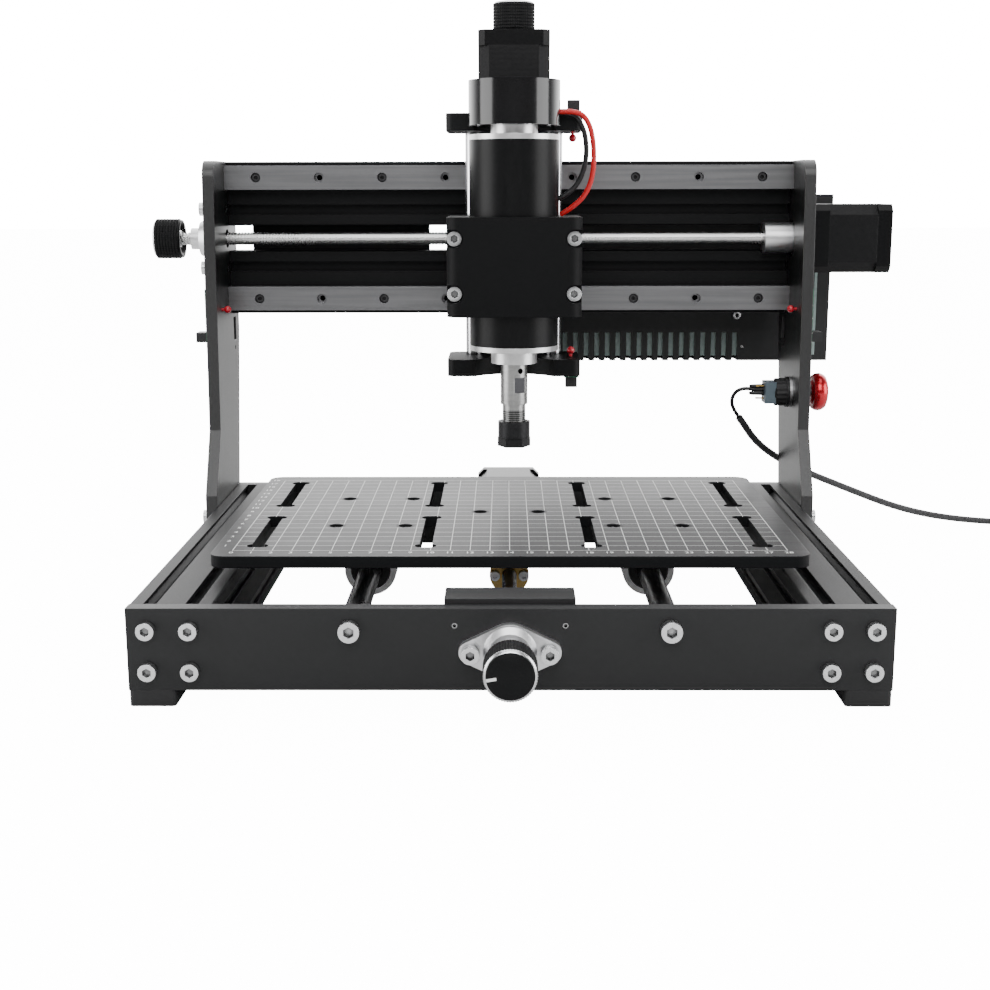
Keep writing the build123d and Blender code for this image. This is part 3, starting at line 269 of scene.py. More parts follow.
def board_finish(name, connector):
    """Green circuit board with traces and solder points; connector tells the black housings apart."""
    f = Finish(name, IOR=1.5)
    housing = connector(f)
    cells = f.add("ShaderNodeTexVoronoi", inputs={"Vector": f.place, "Scale": 320.0})
    solder = (cells < 0.16) * (1 - housing)
    trace = f.noise(110.0, 1.0)
    green = f.blend(trace, (0.006, 0.07, 0.035), (0.02, 0.15, 0.075))
    tone = f.blend(housing, green, (0.010, 0.010, 0.011))
    f.feed("Base Color", f.blend(solder, tone, (0.62, 0.62, 0.58)))
    f.feed("Metallic", 0.9 * solder)
    f.feed("Roughness", 0.38 + 0.15 * trace)
    f.bump(solder, 0.0002, 0.6)
    return f


def lead_finish(name, dark, light):
    f = Finish(name, IOR=1.45)
    grain = f.noise(500.0)
    f.feed("Base Color", f.blend(grain, dark, light))
    f.feed("Roughness", 0.34 + 0.14 * grain)
    f.bump(grain, 0.00003, 0.3)
    return f


def sleeve_finish():
    """Black braided sleeve with a dotted weave."""
    f = Finish("braided_black_sleeve", IOR=1.45, Sheen_Weight=0.2)
    cells = f.add("ShaderNodeTexVoronoi", inputs={"Vector": f.place, "Scale": 780.0})
    f.feed("Base Color", f.blend(cells, (0.050, 0.050, 0.053), (0.006, 0.006, 0.007)))
    f.feed("Roughness", 0.60 + 0.25 * cells)
    f.bump(cells, 0.0004, 0.7)
    return f


def motor_finish(name, axis, start):
    """Satin black motor whose laminated stack lies between two cast bells."""
    f = Finish(name, Specular_IOR_Level=0.14, IOR=1.5)
    along, sheet_pitch = (f.x, f.y, f.z)[axis] - start, 0.0007
    core = (along > MOTOR_BELL) * (along < MOTOR_BELL + MOTOR_STACK)
    sheets = 0.5 + 0.5 * (along * (FULL / sheet_pitch)).wave()
    grain = f.noise(700.0)
    tone = f.blend(grain, (0.003, 0.003, 0.0033), (0.006, 0.006, 0.0066))
    f.feed("Base Color", f.blend(core * sheets * 0.5, tone, (0.012, 0.012, 0.013)))
    f.feed("Roughness", 0.26 + 0.10 * core + 0.10 * grain)
    f.bump(grain + 1.5 * core * sheets, 0.00008, 0.5, edge=0.0004)
    return f


black = blasted_black("fine_blasted_black")
panel = blasted_black("panel_black", (0.010, 0.0104, 0.011), (0.017, 0.0175, 0.0185), 0.42, 0.40)
plate = blasted_black("side_plate_black", rough=0.26, shine=0.9)
matte = blasted_black("matte_black_clamp", rough=0.44, shine=0.12)
plastic = moulded_black("moulded_black")
zinc = drawn_metal("bright_zinc", (0.78, 0.79, 0.80), (0.95, 0.95, 0.96), 0.17, (1, 1, 1), 600.0,
                   painted_shade_reach=0.0030)
dark_steel = drawn_metal("dark_steel_screws", (0.05, 0.05, 0.052), (0.13, 0.13, 0.135), 0.30, (1, 1, 1),
                         600.0)
dark_rod = drawn_metal("dark_polished_rod", (0.035, 0.035, 0.038), (0.09, 0.09, 0.095), 0.20,
                       (1, 0.05, 1))
ground = drawn_metal("ground_steel_rail", (0.16, 0.16, 0.165), (0.30, 0.30, 0.31), 0.30, (0.03, 1, 1),
                     420.0, painted_shade_reach=0.0)
lathe_steel = drawn_metal("turned_steel", (0.30, 0.30, 0.31), (0.58, 0.58, 0.59), 0.26, (1, 1, 0.2), 900.0)
silver = drawn_metal("satin_silver", (0.80, 0.80, 0.81), (0.94, 0.94, 0.95), 0.28, (1, 1, 1), 260.0,
                     painted_shade_reach=0.0)
brass = drawn_metal("turned_brass", (0.52, 0.36, 0.12), (0.80, 0.60, 0.27), 0.26, (1, 1, 1), 700.0)
chrome = drawn_metal("polished_rod", (0.72, 0.72, 0.74), (0.90, 0.90, 0.92), 0.08, (1, 1, 0.1), 300.0)
thread = drawn_metal("rolled_thread", (0.80, 0.80, 0.80), (0.96, 0.96, 0.95), 0.16, (1, 1, 1), 500.0,
                     painted_shade_reach=0.0)
oxide = drawn_metal("black_oxide", (0.012, 0.012, 0.013), (0.030, 0.030, 0.032), 0.34, (1, 1, 1), 500.0, 0.6)
knob_black = blasted_black("knurled_knob_black", rough=0.34)
cap_black = gloss("glossy_fan_cap", (0.004, 0.004, 0.0044), (0.008, 0.008, 0.009), 0.14, coat=0.22)
red_metal = gloss("metallic_red", (0.42, 0.004, 0.012), (0.66, 0.010, 0.022), 0.26, metallic=0.75, coat=0.6)
red_tip = gloss("glossy_red_tip", (0.46, 0.008, 0.020), (0.62, 0.014, 0.030), 0.25)
plate_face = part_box("side_plate_right")[1].x - cad_middle_x
board_depth = 0.00165
board_top, board_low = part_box("z_brackets")[1].z + board_depth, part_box("z_brackets")[0].z - board_depth
x_board = board_finish("x_limit_boards", lambda f: abs(f.x - cad_middle_x) > plate_face + board_depth)
z_board = board_finish("z_limit_boards", lambda f: (f.z > board_top).most(f.z < board_low))
box_board = board_finish("control_circuit_board", lambda f: f.noise(55.0, 0.0) > 0.60)
# Painted light: the board's own grey-green brightened so that it looks lit through the vent slots.
painted_lit_board_green = lead_finish("grey_green_board", (0.20, 0.27, 0.26), (0.34, 0.42, 0.40))
plug_white = gloss("moulded_white", (0.70, 0.70, 0.68), (0.82, 0.82, 0.80), 0.38, coat=0.1)
ink = gloss("printed_white", (0.92, 0.92, 0.91), (0.97, 0.97, 0.96), 0.4, coat=0.3)
red_lead = lead_finish("red_silicone_lead", (0.50, 0.010, 0.012), (0.66, 0.016, 0.018))
black_lead = lead_finish("black_silicone_lead", (0.008, 0.008, 0.009), (0.018, 0.018, 0.019))
sleeve = sleeve_finish()

FINISHES = {
    panel: ("front_panel", "rear_panel", "control_box_cover", "control_box_back"),
    plate: ("side_plate_left", "side_plate_right"),
    black: ("side_profiles", "gantry_beams", "beam_joining_plate", "x_motor_spacer", "carriage_plate",
            "z_brackets"),
    matte: ("spindle_clamp_front", "spindle_clamp_rear"),
    plastic: ("feet", "y_limit_housings"),
    zinc: ("frame_cap_screws", "clamp_screws"),
    dark_steel: ("x_rail_screws",),
    dark_rod: ("y_rods",),
    ground: ("x_rails", "x_rail_cars"),
    lathe_steel: ("collet", "spindle_rotor", "estop_stem", "z_linear_bearings"),
    silver: ("bearing_flanges", "x_coupling", "y_coupling"),
    brass: ("x_nut", "z_nut"),
    chrome: ("z_rods",),
    thread: ("x_lead_screw", "y_lead_screw", "z_lead_screw"),
    oxide: ("collet_nut",),
    knob_black: ("x_knob", "y_knob", "z_knob"),
    cap_black: ("spindle_cap",),
    red_metal: ("estop_head",),
    red_tip: ("x_limit_tip_left", "x_limit_tip_right", "z_limit_tip_upper", "z_limit_tip_lower"),
    x_board: ("x_limit_boards",),
    z_board: ("z_limit_boards",),
    box_board: ("control_board",),
    plug_white: ("estop_cord_plug",),
}


def paint(piece, finish):
    piece.data.materials.clear()
    piece.data.materials.append(finish.material)


for finish, names in FINISHES.items():
    for name in names:
        paint(nodes[name], finish)
paint(nodes["bed_plate"], bed_finish())
motor_length = 2 * MOTOR_BELL + MOTOR_STACK
z_start, x_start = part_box("z_motor")[1].z - motor_length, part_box("frame_motors")[1].x - motor_length
paint(nodes["z_motor"], motor_finish("z_motor_black", 2, z_start))
paint(nodes["frame_motors"], motor_finish("frame_motor_black", 0, x_start))


def can_finish():
    """The spindle: satin black can between bright end plates."""
    low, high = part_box("spindle_motor")
    f = Finish("spindle_can_and_end_plates", Specular_IOR_Level=0.16, IOR=1.5)
    lower_end, upper_end = 0.0110, 0.0080
    ends = (f.z < low.z + lower_end).most(f.z > high.z - upper_end)
    grain = f.noise(300.0, 3.0, (1, 1, 0.2))
    f.feed("Base Color", f.blend(ends, f.blend(grain, (0.003, 0.003, 0.0033), (0.006, 0.006, 0.0065)),
                                 f.blend(grain, (0.66, 0.66, 0.66), (0.84, 0.84, 0.84))))
    f.feed("Metallic", ends * 0.9)
    f.feed("Roughness", 0.30 + 0.08 * grain)
    f.bump(grain, 0.00002, 0.3, edge=0.0003)
    return f


def switch_finish():
    """Stop switch: black barrel, bright nut, blue-grey contact block, brass tabs."""
    f = Finish("stop_switch_parts", IOR=1.5)
    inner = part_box("side_plate_right")[0].x
    nut_depth, block_start, block_end = 0.0016, 0.0099, 0.0171
    nut = (f.x > inner - nut_depth) * (f.x < inner)
    block = (f.x < inner - block_start) * (f.x > inner - block_end)
    tabs = f.x < inner - block_end
    grain = f.noise(500.0)
    tone = f.blend(grain, (0.010, 0.010, 0.011), (0.022, 0.022, 0.023))
    tone = f.blend(block, tone, (0.10, 0.14, 0.17))
    tone = f.blend(tabs, tone, (0.62, 0.42, 0.14))
    f.feed("Base Color", f.blend(nut, tone, (0.62, 0.62, 0.63)))
    f.feed("Metallic", nut.most(tabs))
    f.feed("Roughness", 0.32 + 0.14 * grain)
    f.bump(grain, 0.00005, 0.4, edge=0.0003)
    return f


def from_axis(f, node, axis):
    """Distance from a node's own axis."""
    low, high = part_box(node)
    middle, here = (low + high) / 2, (f.x, f.y, f.z)
    across = [here[i] - middle[i] for i in range(3) if i != axis]
    return (across[0] * across[0] + across[1] * across[1]).root()


def chuck_finish():
    """Turned chuck: bright shank, painted shade on the flat and in the hole, a light collar, then a fine
    thread with painted shade in its roots.
    """
    f = Finish("chuck_steel", Metallic=1.0)
    top, shank_radius, thread_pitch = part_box("collet_chuck")[1].z, 0.0078, 0.0012
    shank, collar = top - 0.024, top - 0.0275
    # Painted shade: the flat and the hole inside the shank radius are coloured dark.
    hole_and_flat_shade = (f.z > shank) * (from_axis(f, "collet_chuck", 2) < shank_radius)
    threads = f.z < collar
    ridge = 0.5 + 0.5 * (f.z * (FULL / thread_pitch)).wave()
    lines = f.noise(900.0, 4.0, (0.2, 0.2, 1))
    tone = f.blend(lines, (0.26, 0.26, 0.26), (0.50, 0.50, 0.49))
    # Painted shade: the thread band is darkened, most in the thread roots.
    tone = f.blend(threads * (0.35 + 0.65 * (1 - ridge)), tone, (0.06, 0.06, 0.06))
    f.feed("Base Color", f.blend(hole_and_flat_shade, tone, (0.07, 0.07, 0.075)))
    f.feed("Roughness", 0.24 + 0.12 * lines)
    f.bump(threads * ridge + 0.1 * lines, 0.00012, 0.5, edge=0.0003)
    return f


def bearing_finish():
    """Bed bearings: bright outer race round a black shield."""
    f = Finish("bearing_race_and_shield", IOR=1.5)
    rod_low, rod_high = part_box("y_rods")
    rod_radius, race_radius = 0.006, 0.0107
    rod_x = (rod_high.x - rod_low.x) / 2 - rod_radius
    aside = abs(f.x - (rod_low.x + rod_high.x) / 2) - rod_x
    rise = f.z - (rod_low.z + rod_high.z) / 2
    race = (aside * aside + rise * rise).root() > race_radius
    grain = f.noise(400.0)
    bright = f.blend(grain, (0.72, 0.72, 0.73), (0.86, 0.86, 0.87))
    f.feed("Base Color", f.blend(race, (0.008, 0.008, 0.009), bright))
    f.feed("Metallic", race * 0.9)
    f.feed("Roughness", 0.30 + 0.10 * grain)
    f.bump(grain, 0.00004, 0.3, edge=0.0004)
    return f


def nut_block_finish():
    """Black nut block; brass flange and barrel; bright screws."""
    low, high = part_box("y_nut")
    f = Finish("nut_block_and_brass", IOR=1.5)
    screw_low, screw_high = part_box("y_lead_screw")
    barrel_radius, head_depth, block_depth = 0.0053, 0.00298, 0.0219
    aside, rise = f.x - (low.x + high.x) / 2, f.z - (screw_low.z + screw_high.z) / 2
    barrel = (aside * aside + rise * rise).root() < barrel_radius
    flange = (f.y > low.y + head_depth) * (f.y < high.y - block_depth)
    heads = f.y < low.y + head_depth
    grain = f.noise(600.0)
    yellow = f.blend(grain, (0.55, 0.37, 0.12), (0.80, 0.58, 0.24))
    tone = f.blend(flange.most(barrel), (0.006, 0.006, 0.0065), yellow)
    f.feed("Base Color", f.blend(heads, tone, (0.85, 0.85, 0.86)))
    f.feed("Metallic", flange.most(barrel).most(heads))
    f.feed("Roughness", 0.26 + 0.14 * grain)
    f.bump(grain, 0.00004, 0.3, edge=0.0003)
    return f


paint(nodes["collet_chuck"], chuck_finish())
paint(nodes["bed_bearings"], bearing_finish())
paint(nodes["y_nut"], nut_block_finish())
paint(nodes["spindle_motor"], can_finish())
paint(nodes["estop_switch"], switch_finish())


# ---------------------------------------------------------------- cord, wires and leads
def line(name, points, diameter, finish, body):
    """A round lead along a smooth line through its control points."""
    curve = bpy.data.curves.new(name, "CURVE")
    curve.dimensions = "3D"
    curve.bevel_depth, curve.bevel_resolution, curve.resolution_u = diameter / 2, 4, 6
    curve.use_fill_caps = True
    spline = curve.splines.new("NURBS")
    spline.points.add(len(points) - 1)
    for point, place in zip(spline.points, points):
        point.co = (*place, 1)
    spline.order_u = 3
    spline.use_endpoint_u = True
    piece = bpy.data.objects.new(name, curve)
    bpy.context.scene.collection.objects.link(piece)
    curve.materials.append(finish.material)
    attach(piece, body)
    return piece


wire_points = [(0.15625, 0.11025, 0.114), (0.15025, 0.11025, 0.114), (0.14375, 0.11035, 0.1149),
               (0.13845, 0.11105, 0.1126), (0.13615, 0.11265, 0.107), (0.13785, 0.11475, 0.1008),
               (0.14225, 0.11725, 0.095)]
cord_points = [(0.14225, 0.11725, 0.095), (0.14665, 0.11975, 0.0892), (0.15285, 0.12675, 0.0806),
               (0.16265, 0.13745, 0.071), (0.17685, 0.14785, 0.061), (0.19245, 0.15625, 0.0526),
               (0.21065, 0.16505, 0.0442), (0.23405, 0.17685, 0.0336), (0.26125, 0.18925, 0.0216),
               (0.28925, 0.20125, 0.0122), (0.31825, 0.21025, 0.0062), (0.34525, 0.21475, 0.0032),
               (0.37125, 0.21425, 0.0024), (0.38925, 0.21185, 0.0023)]


def coil_points():
    """Turns of the spare length, outer then inner on the floor, then one on top of them."""
    low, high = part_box("estop_cord_coil")
    middle, places = (low + high) / 2, []
    layers = ((0.02725, 0.0023), (0.02270, 0.0023), (0.02270, 0.0067), (0.02720, 0.0067))
    per_turn = 14
    for k in range(1, int(3.45 * per_turn)):
        turn, step = divmod(k, per_turn)
        share = max(0.0, (step - per_turn + 4) / 4)
        now, later = layers[turn], layers[min(turn + 1, len(layers) - 1)]
        radius = now[0] + (later[0] - now[0]) * share
        height = now[1] + (later[1] - now[1]) * share
        angle = -FULL / 4 + FULL * k / per_turn
        places.append((middle.x + radius * math.cos(angle), middle.y + radius * math.sin(angle), height))
    return places


plug_points = [(0.41385, 0.25845, 0.0079), (0.40870, 0.26140, 0.0101), (0.40400, 0.26245, 0.0116),
               (0.39950, 0.26220, 0.0119), (0.39550, 0.26220, 0.0119)]
LEAD, WIRE, CORD = 0.003, 0.0024, 0.0045
red_points = [(0.02005, 0.05025, 0.2830), (0.03250, 0.05025, 0.2840), (0.03950, 0.05025, 0.2775),
              (0.04240, 0.05025, 0.2650), (0.04240, 0.05025, 0.2500), (0.03960, 0.05080, 0.2395),
              (0.03350, 0.05180, 0.2310), (0.02330, 0.05280, 0.2247)]
black_points = [(0.01865, 0.05425, 0.2830), (0.03050, 0.05425, 0.2830), (0.03650, 0.05425, 0.2745),
                (0.03860, 0.05425, 0.2630), (0.03750, 0.05445, 0.2520), (0.03350, 0.05465, 0.2425),
                (0.02800, 0.05480, 0.2370), (0.02220, 0.05500, 0.2338)]
for name, points, length, finish, slot in (
        ("spindle_lead_red", red_points, 0.0817, red_lead, "red_lead"),
        ("spindle_lead_black", black_points, 0.0681, black_lead, "black_plastic")):
    lead = line(name, points, LEAD, finish, "spindle_slide")
    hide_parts("spindle_leads")
wires = line("stop_button_wires", wire_points, WIRE, black_lead, "root")
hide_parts("estop_cord")
cord = line("stop_button_cord", cord_points + coil_points() + plug_points, CORD, sleeve, "root")
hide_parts("estop_cord", "estop_cord_coil")


# ---------------------------------------------------------------- threads, knobs and numerals
def piece_from(name, mesh, body, replaced=()):
    """An object at the origin that rides on a body and may stand for CAD nodes."""
    piece = bpy.data.objects.new(name, mesh)
    bpy.context.scene.collection.objects.link(piece)
    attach(piece, body)
    if replaced:
        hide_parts(*replaced)
    return piece


class Growth(Tree):
    """A Geometry Nodes tree with named sizes, run once and kept as a plain mesh."""

    def __init__(self, name, sizes):
        super().__init__(bpy.data.node_groups.new(name, "GeometryNodeTree"))
        face = self.tree.interface
        face.new_socket("Geometry", in_out="OUTPUT", socket_type="NodeSocketGeometry")
        self.values = {}
        for size, value in sizes.items():
            kind = "NodeSocketInt" if isinstance(value, int) else "NodeSocketFloat"
            self.values[face.new_socket(size, in_out="INPUT", socket_type=kind).identifier] = value
        given = self.tree.nodes.new("NodeGroupInput")
        self.sizes = {size: Wire(self, given.outputs[size]) for size in sizes}

    def mesh(self, geometry, finish):
        real = self.add("GeometryNodeRealizeInstances", inputs={0: geometry})
        whole = self.add("GeometryNodeSetMaterial", inputs={"Geometry": real, "Material": finish.material})
        self.tree.links.new(whole.socket, self.tree.nodes.new("NodeGroupOutput").inputs[0])
        holder = bpy.data.objects.new(self.tree.name, bpy.data.meshes.new(self.tree.name))
        bpy.context.scene.collection.objects.link(holder)
        growth = holder.modifiers.new("growth", "NODES")
        growth.node_group = self.tree
        for identifier, value in self.values.items():
            growth[identifier] = value
        graph = bpy.context.evaluated_depsgraph_get()
        result = bpy.data.meshes.new_from_object(holder.evaluated_get(graph))
        holder.modifiers.remove(growth)
        bpy.data.objects.remove(holder)
        return result


def threaded_rod(name, node, axis, thread_end):
    """A right-hand, four-start thread along a screw, with a plain shank past thread_end."""
    low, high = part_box(node)
    middle = (low + high) / 2
    lead, starts, depth, radius, per_pitch = 0.008, 4, 0.0006, 0.004, 4
    step = lead / starts / per_pitch
    columns = int((high[axis] - low[axis] + lead) / step) + 6
    g = Growth(name, {"columns": columns, "around": 25, "span": (columns - 1) * step, "radius": radius,
                      "depth": depth, "lead": lead, "thread_end": thread_end, "shank": SCREW_SHANK})
    size = g.sizes
    sheet = g.add("GeometryNodeMeshGrid", inputs={
        "Size X": size["span"], "Size Y": 1.0, "Vertices X": size["columns"], "Vertices Y": size["around"]})
    across, turn, _ = g.parts(g.add("GeometryNodeInputPosition"))
    column = across + size["span"] / 2
    share = turn + 0.5
    along = column + (low[axis] - 2 * step) + size["lead"] * (1 - share) - size["lead"]
    root = (column / (step * per_pitch) + 0.125).part() > 0.5
    threaded = along < size["thread_end"]
    ridge = size["radius"] - size["depth"] * root
    solid = threaded * ridge + (1 - threaded) * size["shank"]
    radius_here = solid * (along > low[axis]) * (along < high[axis])
    angle = share * -FULL
    flat = [along.most(low[axis]).least(high[axis]), radius_here * angle.cosine(), radius_here * angle.wave()]
    place = {(axis + i) % 3: value for i, value in enumerate(flat)}
    for other in ((axis + 1) % 3, (axis + 2) % 3):
        place[other] = place[other] + middle[other]
    moved = g.add("GeometryNodeSetPosition", inputs={
        "Geometry": sheet, "Position": g.add("ShaderNodeCombineXYZ", inputs=place)})
    closed = g.add("GeometryNodeMergeByDistance", inputs={"Geometry": moved, "Distance": 0.00001})
    return g.mesh(closed, thread)


x_rod = threaded_rod("x_screw_thread", "x_lead_screw", 0, X_THREAD_END)
y_rod = threaded_rod("y_screw_thread", "y_lead_screw", 1, Y_THREAD_END)
piece_from("x_screw_thread", x_rod, "x_screw", ("x_lead_screw",))
piece_from("y_screw_thread", y_rod, "y_screw", ("y_lead_screw",))


def turned(name, stations, centre, axis, finishes, teeth=0, tooth=0.0, steps=96):
    """A closed shape turned about an axis; a station is (along, radius, finish index, knurled)."""
    steps = 2 * teeth or steps
    mesh = bpy.data.meshes.new(name)
    shape, rings = bmesh.new(), []
    for along, radius, _, knurled in stations:
        ring = []
        for k in range(steps if radius else 1):
            angle = FULL * k / steps
            r = radius - tooth * (k % 2) * knurled
            flat = (along, r * math.cos(angle), r * math.sin(angle))
            place = Vector(centre)
            for i, value in enumerate(flat):
                place[(axis + i) % 3] += value
            ring.append(shape.verts.new(place))
        rings.append(ring)
    for first, second, station in zip(rings, rings[1:], stations):
        for k in range(steps):
            corners = [first[k % len(first)], second[k % len(second)],
                       second[(k + 1) % len(second)], first[(k + 1) % len(first)]]
            face = shape.faces.new(list(dict.fromkeys(corners)))
            face.material_index = station[2]
            face.smooth = not station[3]
    bmesh.ops.recalc_face_normals(shape, faces=shape.faces)
    shape.to_mesh(mesh)
    shape.free()
    for finish in finishes:
        mesh.materials.append(finish.material)
    return mesh


def knob(name, node, axis, body, face_low=True):
    """A knurled, ring-grooved knob with a bright chamfer round its face and a hollow back."""
    low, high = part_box(node)
    centre = (low + high) / 2
    sign = 1 if face_low else -1
    centre[axis] = (low if face_low else high)[axis]
    rim, groove, face, length, rings = 0.0125, 0.0119, 0.0111, 0.017, 8
    pitch = (length - 0.0024) / rings
    rows = [(0, 0, 0, 0), (0, face, 1, 0), (0.0011, rim, 0, 1)]
    for k in range(rings):
        start = 0.0016 + k * pitch
        rows += [(start, rim, 0, 1), (start + 0.62 * pitch, rim, 0, 1),
                 (start + 0.72 * pitch, groove, 0, 0), (start + 0.90 * pitch, groove, 0, 0)]
    rows += [(length, 0.0118, 0, 0), (length, 0.0096, 0, 0), (length - 0.004, 0.0094, 0, 0),
             (length - 0.004, 0.0056, 1, 0), (length - 0.001, 0.0054, 1, 0), (length - 0.001, 0, 1, 0)]
    rows = [(sign * along, radius, finish, knurled) for along, radius, finish, knurled in rows]
    mesh = turned(name, rows, centre, axis, (knob_black, zinc), teeth=60, tooth=0.00035)
    return piece_from(name, mesh, body, (node,))


knob("x_knob_knurled", "x_knob", 0, "x_screw")
knob("y_knob_knurled", "y_knob", 1, "y_screw")
knob("z_knob_knurled", "z_knob", 2, "z_screw", face_low=False)


def flat_box(name, low, high, turn, pivot, finish):
    """A thin bar, turned about the Y axis at a pivot."""
    mesh = bpy.data.meshes.new(name)
    shape = bmesh.new()
    bmesh.ops.create_cube(shape, size=1.0)
    bmesh.ops.scale(shape, vec=high - low, verts=shape.verts)
    bmesh.ops.translate(shape, vec=(low + high) / 2, verts=shape.verts)
    bmesh.ops.rotate(shape, cent=pivot, matrix=Matrix.Rotation(turn, 3, "Y"), verts=shape.verts)
    bmesh.ops.bevel(shape, geom=list(shape.edges), offset=0.00004, segments=1, affect="EDGES")
    shape.to_mesh(mesh)
    shape.free()
    mesh.materials.append(finish.material)
    return mesh


knob_low, knob_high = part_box("y_knob")
hub = Vector(((knob_low.x + knob_high.x) / 2, knob_low.y, (knob_low.z + knob_high.z) / 2))
mark_low, mark_high = Vector((-0.0110, -0.00010, -0.0007)), Vector((-0.0063, 0.00006, 0.0007))
mark = flat_box("y_knob_pointer", hub + mark_low, hub + mark_high, math.radians(-10), hub, ink)
piece_from("y_knob_pointer", mark, "y_screw")


def clamp_hole_rings():
    """Bright threaded rings in the bed's clamp holes, left open for a bolt."""
    low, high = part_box("bed_plate")
    middle, shape = (low + high) / 2, bmesh.new()
    ends = (-1, 1)
    places = [(s * MIDDLE_CLAMP_X, 0) for s in ends]
    places += [(s * CLAMP_X + i * CLAMP_APART_X, j * CLAMP_APART_Y) for s in ends for i in ends for j in ends]
    seat, length, bore, outside, chamfer = high.z - 0.0016, 0.0040, 0.0027, 0.0037, 0.0002
    for x, y in places:
        rows = [(seat + rise, radius, 0, 0) for rise, radius in (
            (-length, bore), (-length, outside), (-chamfer, outside), (chamfer / 2, outside - chamfer),
            (chamfer / 2, bore + chamfer), (-chamfer, bore), (-length, bore))]
        shape.from_mesh(turned("ring", rows, Vector((middle.x + x, middle.y + y, 0)), 2, (), steps=32))
    bmesh.ops.remove_doubles(shape, verts=shape.verts, dist=0.00001)
    bmesh.ops.recalc_face_normals(shape, faces=shape.faces)
    mesh = bpy.data.meshes.new("clamp_hole_rings")
    shape.to_mesh(mesh)
    shape.free()
    mesh.materials.append(zinc.material)
    return piece_from("clamp_hole_rings", mesh, "bed")


clamp_hole_rings()
plate_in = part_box("side_plate_right")[0].x
stop_low, stop_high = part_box("estop_switch")
stop_axis = Vector((0, (stop_low.y + stop_high.y) / 2, (stop_low.z + stop_high.z) / 2))
collar_shape = ((0.0112, 0, 0), (0.0112, 0.0066, 0), (0.0100, 0.0078, 1), (0.0100, 0.0088, 1),
                (0.0034, 0.0088, 1), (0.0034, 0.0097, 1), (0.0017, 0.0097, 0), (0.0017, 0, 0))
collar_rows = [(plate_in - depth, radius, 0, knurled) for depth, radius, knurled in collar_shape]
collar = turned("stop_switch_collar", collar_rows, stop_axis, 0, (plastic,), teeth=18, tooth=0.0004)
piece_from("stop_switch_collar", collar, "root")
shrink_shape = ((0.0262, 0), (0.0262, 0.0009), (0.0245, 0.0013),
                (0.0178, 0.0015), (0.0168, 0.0014), (0.0168, 0))
shrink_rows = [(plate_in - depth, radius, 0, 0) for depth, radius in shrink_shape]
for side, rise in (("upper", 0.0036), ("lower", -0.0008)):
    shrink_axis = stop_axis + Vector((0, 0, rise))
    shrink = turned("heat_shrink_" + side, shrink_rows, shrink_axis, 0, (black_lead,), steps=20)
    piece_from("heat_shrink_" + side, shrink, "root")


def slab(name, low, high, finish):
    """A thin plate with softly broken edges."""
    return flat_box(name, Vector(low), Vector(high), 0.0, Vector(low), finish)


cover, cover_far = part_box("control_box_cover")
cover_thickness = 0.030
box_face = cover_far.y - cover_thickness
# A board just behind the vent slots in the grey-green with painted light, so the slots look lit from within.
vent = slab("vent_board", (cover.x + 0.006, box_face + 0.0026, cover.z + 0.0030),
            (cover.x + 0.160, box_face + 0.0036, cover.z + 0.0275), painted_lit_board_green)
piece_from("vent_board", vent, "root")
edge_x = cover_far.x - 0.0105
# The board edge takes the same grey-green with painted light.
edge = slab("board_edge", (edge_x, box_face - 0.0016, cover.z + 0.004),
            (edge_x + 0.0018, box_face - 0.0003, cover.z + 0.062), painted_lit_board_green)
piece_from("board_edge", edge, "root")
box_screws = (("box_screw", 0.14685, 0.1565, 0.0027), ("box_pin", 0.15075, 0.1355, 0.0009))
# Painted shade: the floor of each head's shallow recess takes the dark oxide finish, standing for the shade
# inside a deep socket.
head_shape = ((0.0006, 0, 1), (0.0006, 0.45, 0), (0.0014, 0.50, 0), (0.0014, 0.85, 0), (0.0008, 1, 0),
              (-0.0004, 1, 0), (-0.0004, 0, 0))
for name, x, z, radius in box_screws:
    rows = [(box_face - rise, share * radius, finish, 0) for rise, share, finish in head_shape]
    head = turned(name, rows, Vector((x, 0, z)), 1, (zinc, oxide), steps=32)
    piece_from(name, head, "root")


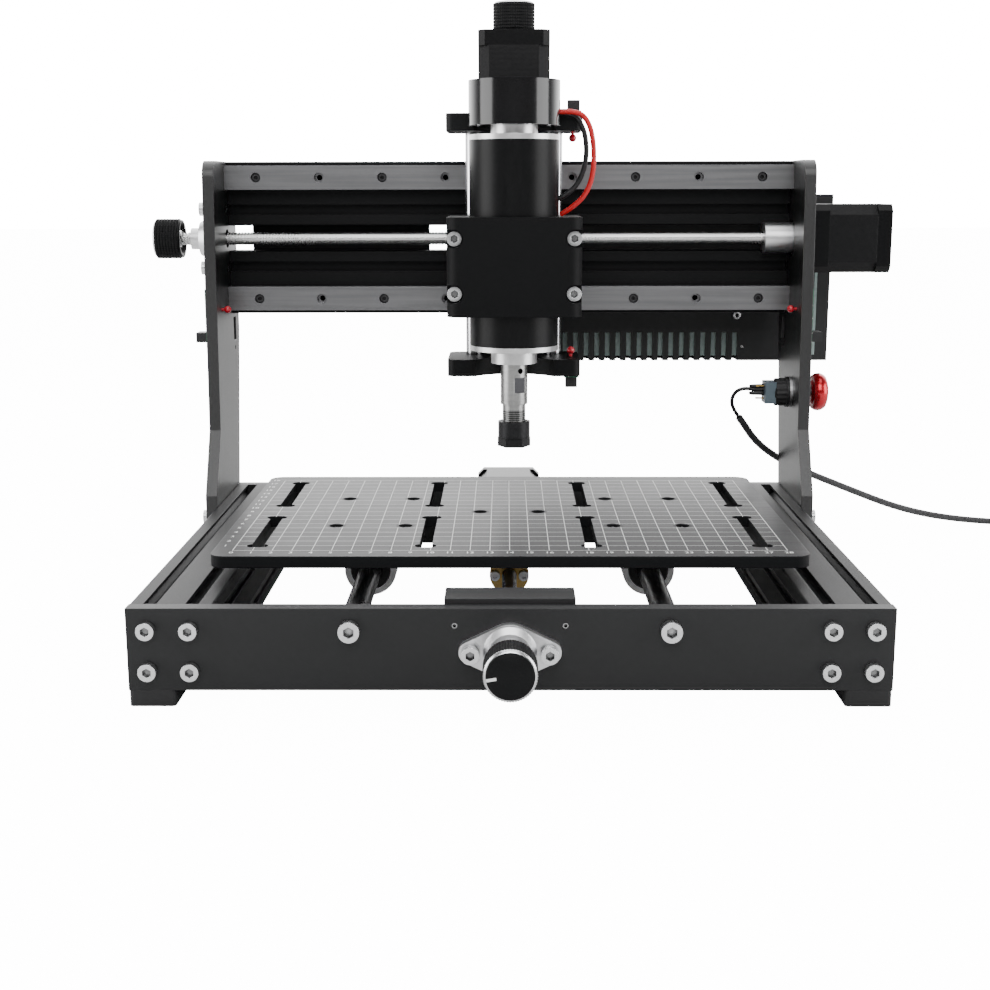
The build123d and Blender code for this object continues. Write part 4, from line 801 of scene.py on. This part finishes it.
def bed_numerals():
    """Centimetre numbers along the front and left edges of the bed's grid."""
    low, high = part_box("bed_plate")
    middle, shape = (low + high) / 2, bmesh.new()
    left, front, below, beside = middle.x - GRID_HALF_X, middle.y - GRID_HALF_Y, 0.0045, 0.0055
    labels = [(str(k), left + GRID_PITCH * k, front - below) for k in range(29)]
    labels += [(str(k), left - beside, front + GRID_PITCH * k) for k in range(1, 19)]
    for text, x, y in labels:
        curve = bpy.data.curves.new("numeral", "FONT")
        curve.body, curve.size, curve.resolution_u = text, 0.0046, 2
        curve.align_x, curve.align_y = "CENTER", "CENTER"
        holder = bpy.data.objects.new("numeral", curve)
        bpy.context.scene.collection.objects.link(holder)
        graph = bpy.context.evaluated_depsgraph_get()
        mesh = bpy.data.meshes.new_from_object(holder.evaluated_get(graph))
        mesh.transform(Matrix.Translation((x, y, high.z + 0.00003)))
        shape.from_mesh(mesh)
        bpy.data.objects.remove(holder)
    mesh = bpy.data.meshes.new("bed_numerals")
    shape.to_mesh(mesh)
    shape.free()
    mesh.materials.clear()
    mesh.materials.append(ink.material)
    return piece_from("bed_numerals", mesh, "bed")


bed_numerals()


# ---------------------------------------------------------------- lights, floor
def stage():
    mesh = bpy.data.meshes.new("floor")
    mesh.from_pydata([(-6, -6, 0), (6, -6, 0), (6, 9, 0), (-6, 9, 0)], [], [(0, 1, 2, 3)])
    floor = bpy.data.objects.new("floor", mesh)
    bpy.context.scene.collection.objects.link(floor)
    f = Finish("pale_floor", Roughness=0.9, Emission_Strength=14.0)
    seen = f.add("ShaderNodeLightPath")
    f.feed("Base Color", f.blend(f.noise(1.5), (0.52, 0.52, 0.52), (0.56, 0.56, 0.56)))
    f.feed("Emission Color", f.blend(seen, (0, 0, 0), (1, 1, 1)))
    paint(floor, f)
    world = bpy.context.scene.world or bpy.data.worlds.new("studio")
    bpy.context.scene.world = world
    world.use_nodes = True
    sky = Tree(world.node_tree)
    towards = sky.parts(sky.add("ShaderNodeTexCoord"))[1]
    glow = sky.add("ShaderNodeMapRange", {"interpolation_type": "SMOOTHSTEP"},
                   {0: towards, 1: 0.1, 2: 0.9, 3: 0.16, 4: 4.5})
    plain_view = sky.add("ShaderNodeLightPath")
    backdrop = world.node_tree.nodes["Background"]
    backdrop.inputs["Color"].default_value = (1, 1, 1, 1)
    world.node_tree.links.new((glow + 14.0 * plain_view).socket, backdrop.inputs["Strength"])
    target = Vector((0, 0.05, 0.12))
    for name, place, size, power in (("top_softbox", (0, 0.1, 1.6), 1.4, 14),
                                     ("key_softbox", (0, -1.5, 1.3), 1.2, 22),
                                     ("left_softbox", (-1.3, -0.30, 0.45), 0.9, 14),
                                     ("right_softbox", (1.3, -0.30, 0.45), 0.9, 14)):
        data = bpy.data.lights.new(name, "AREA")
        data.energy, data.size = power, size
        lamp = bpy.data.objects.new(name, data)
        lamp.location = place
        lamp.rotation_euler = (target - Vector(place)).to_track_quat("-Z", "Y").to_euler()
        bpy.context.scene.collection.objects.link(lamp)


stage()
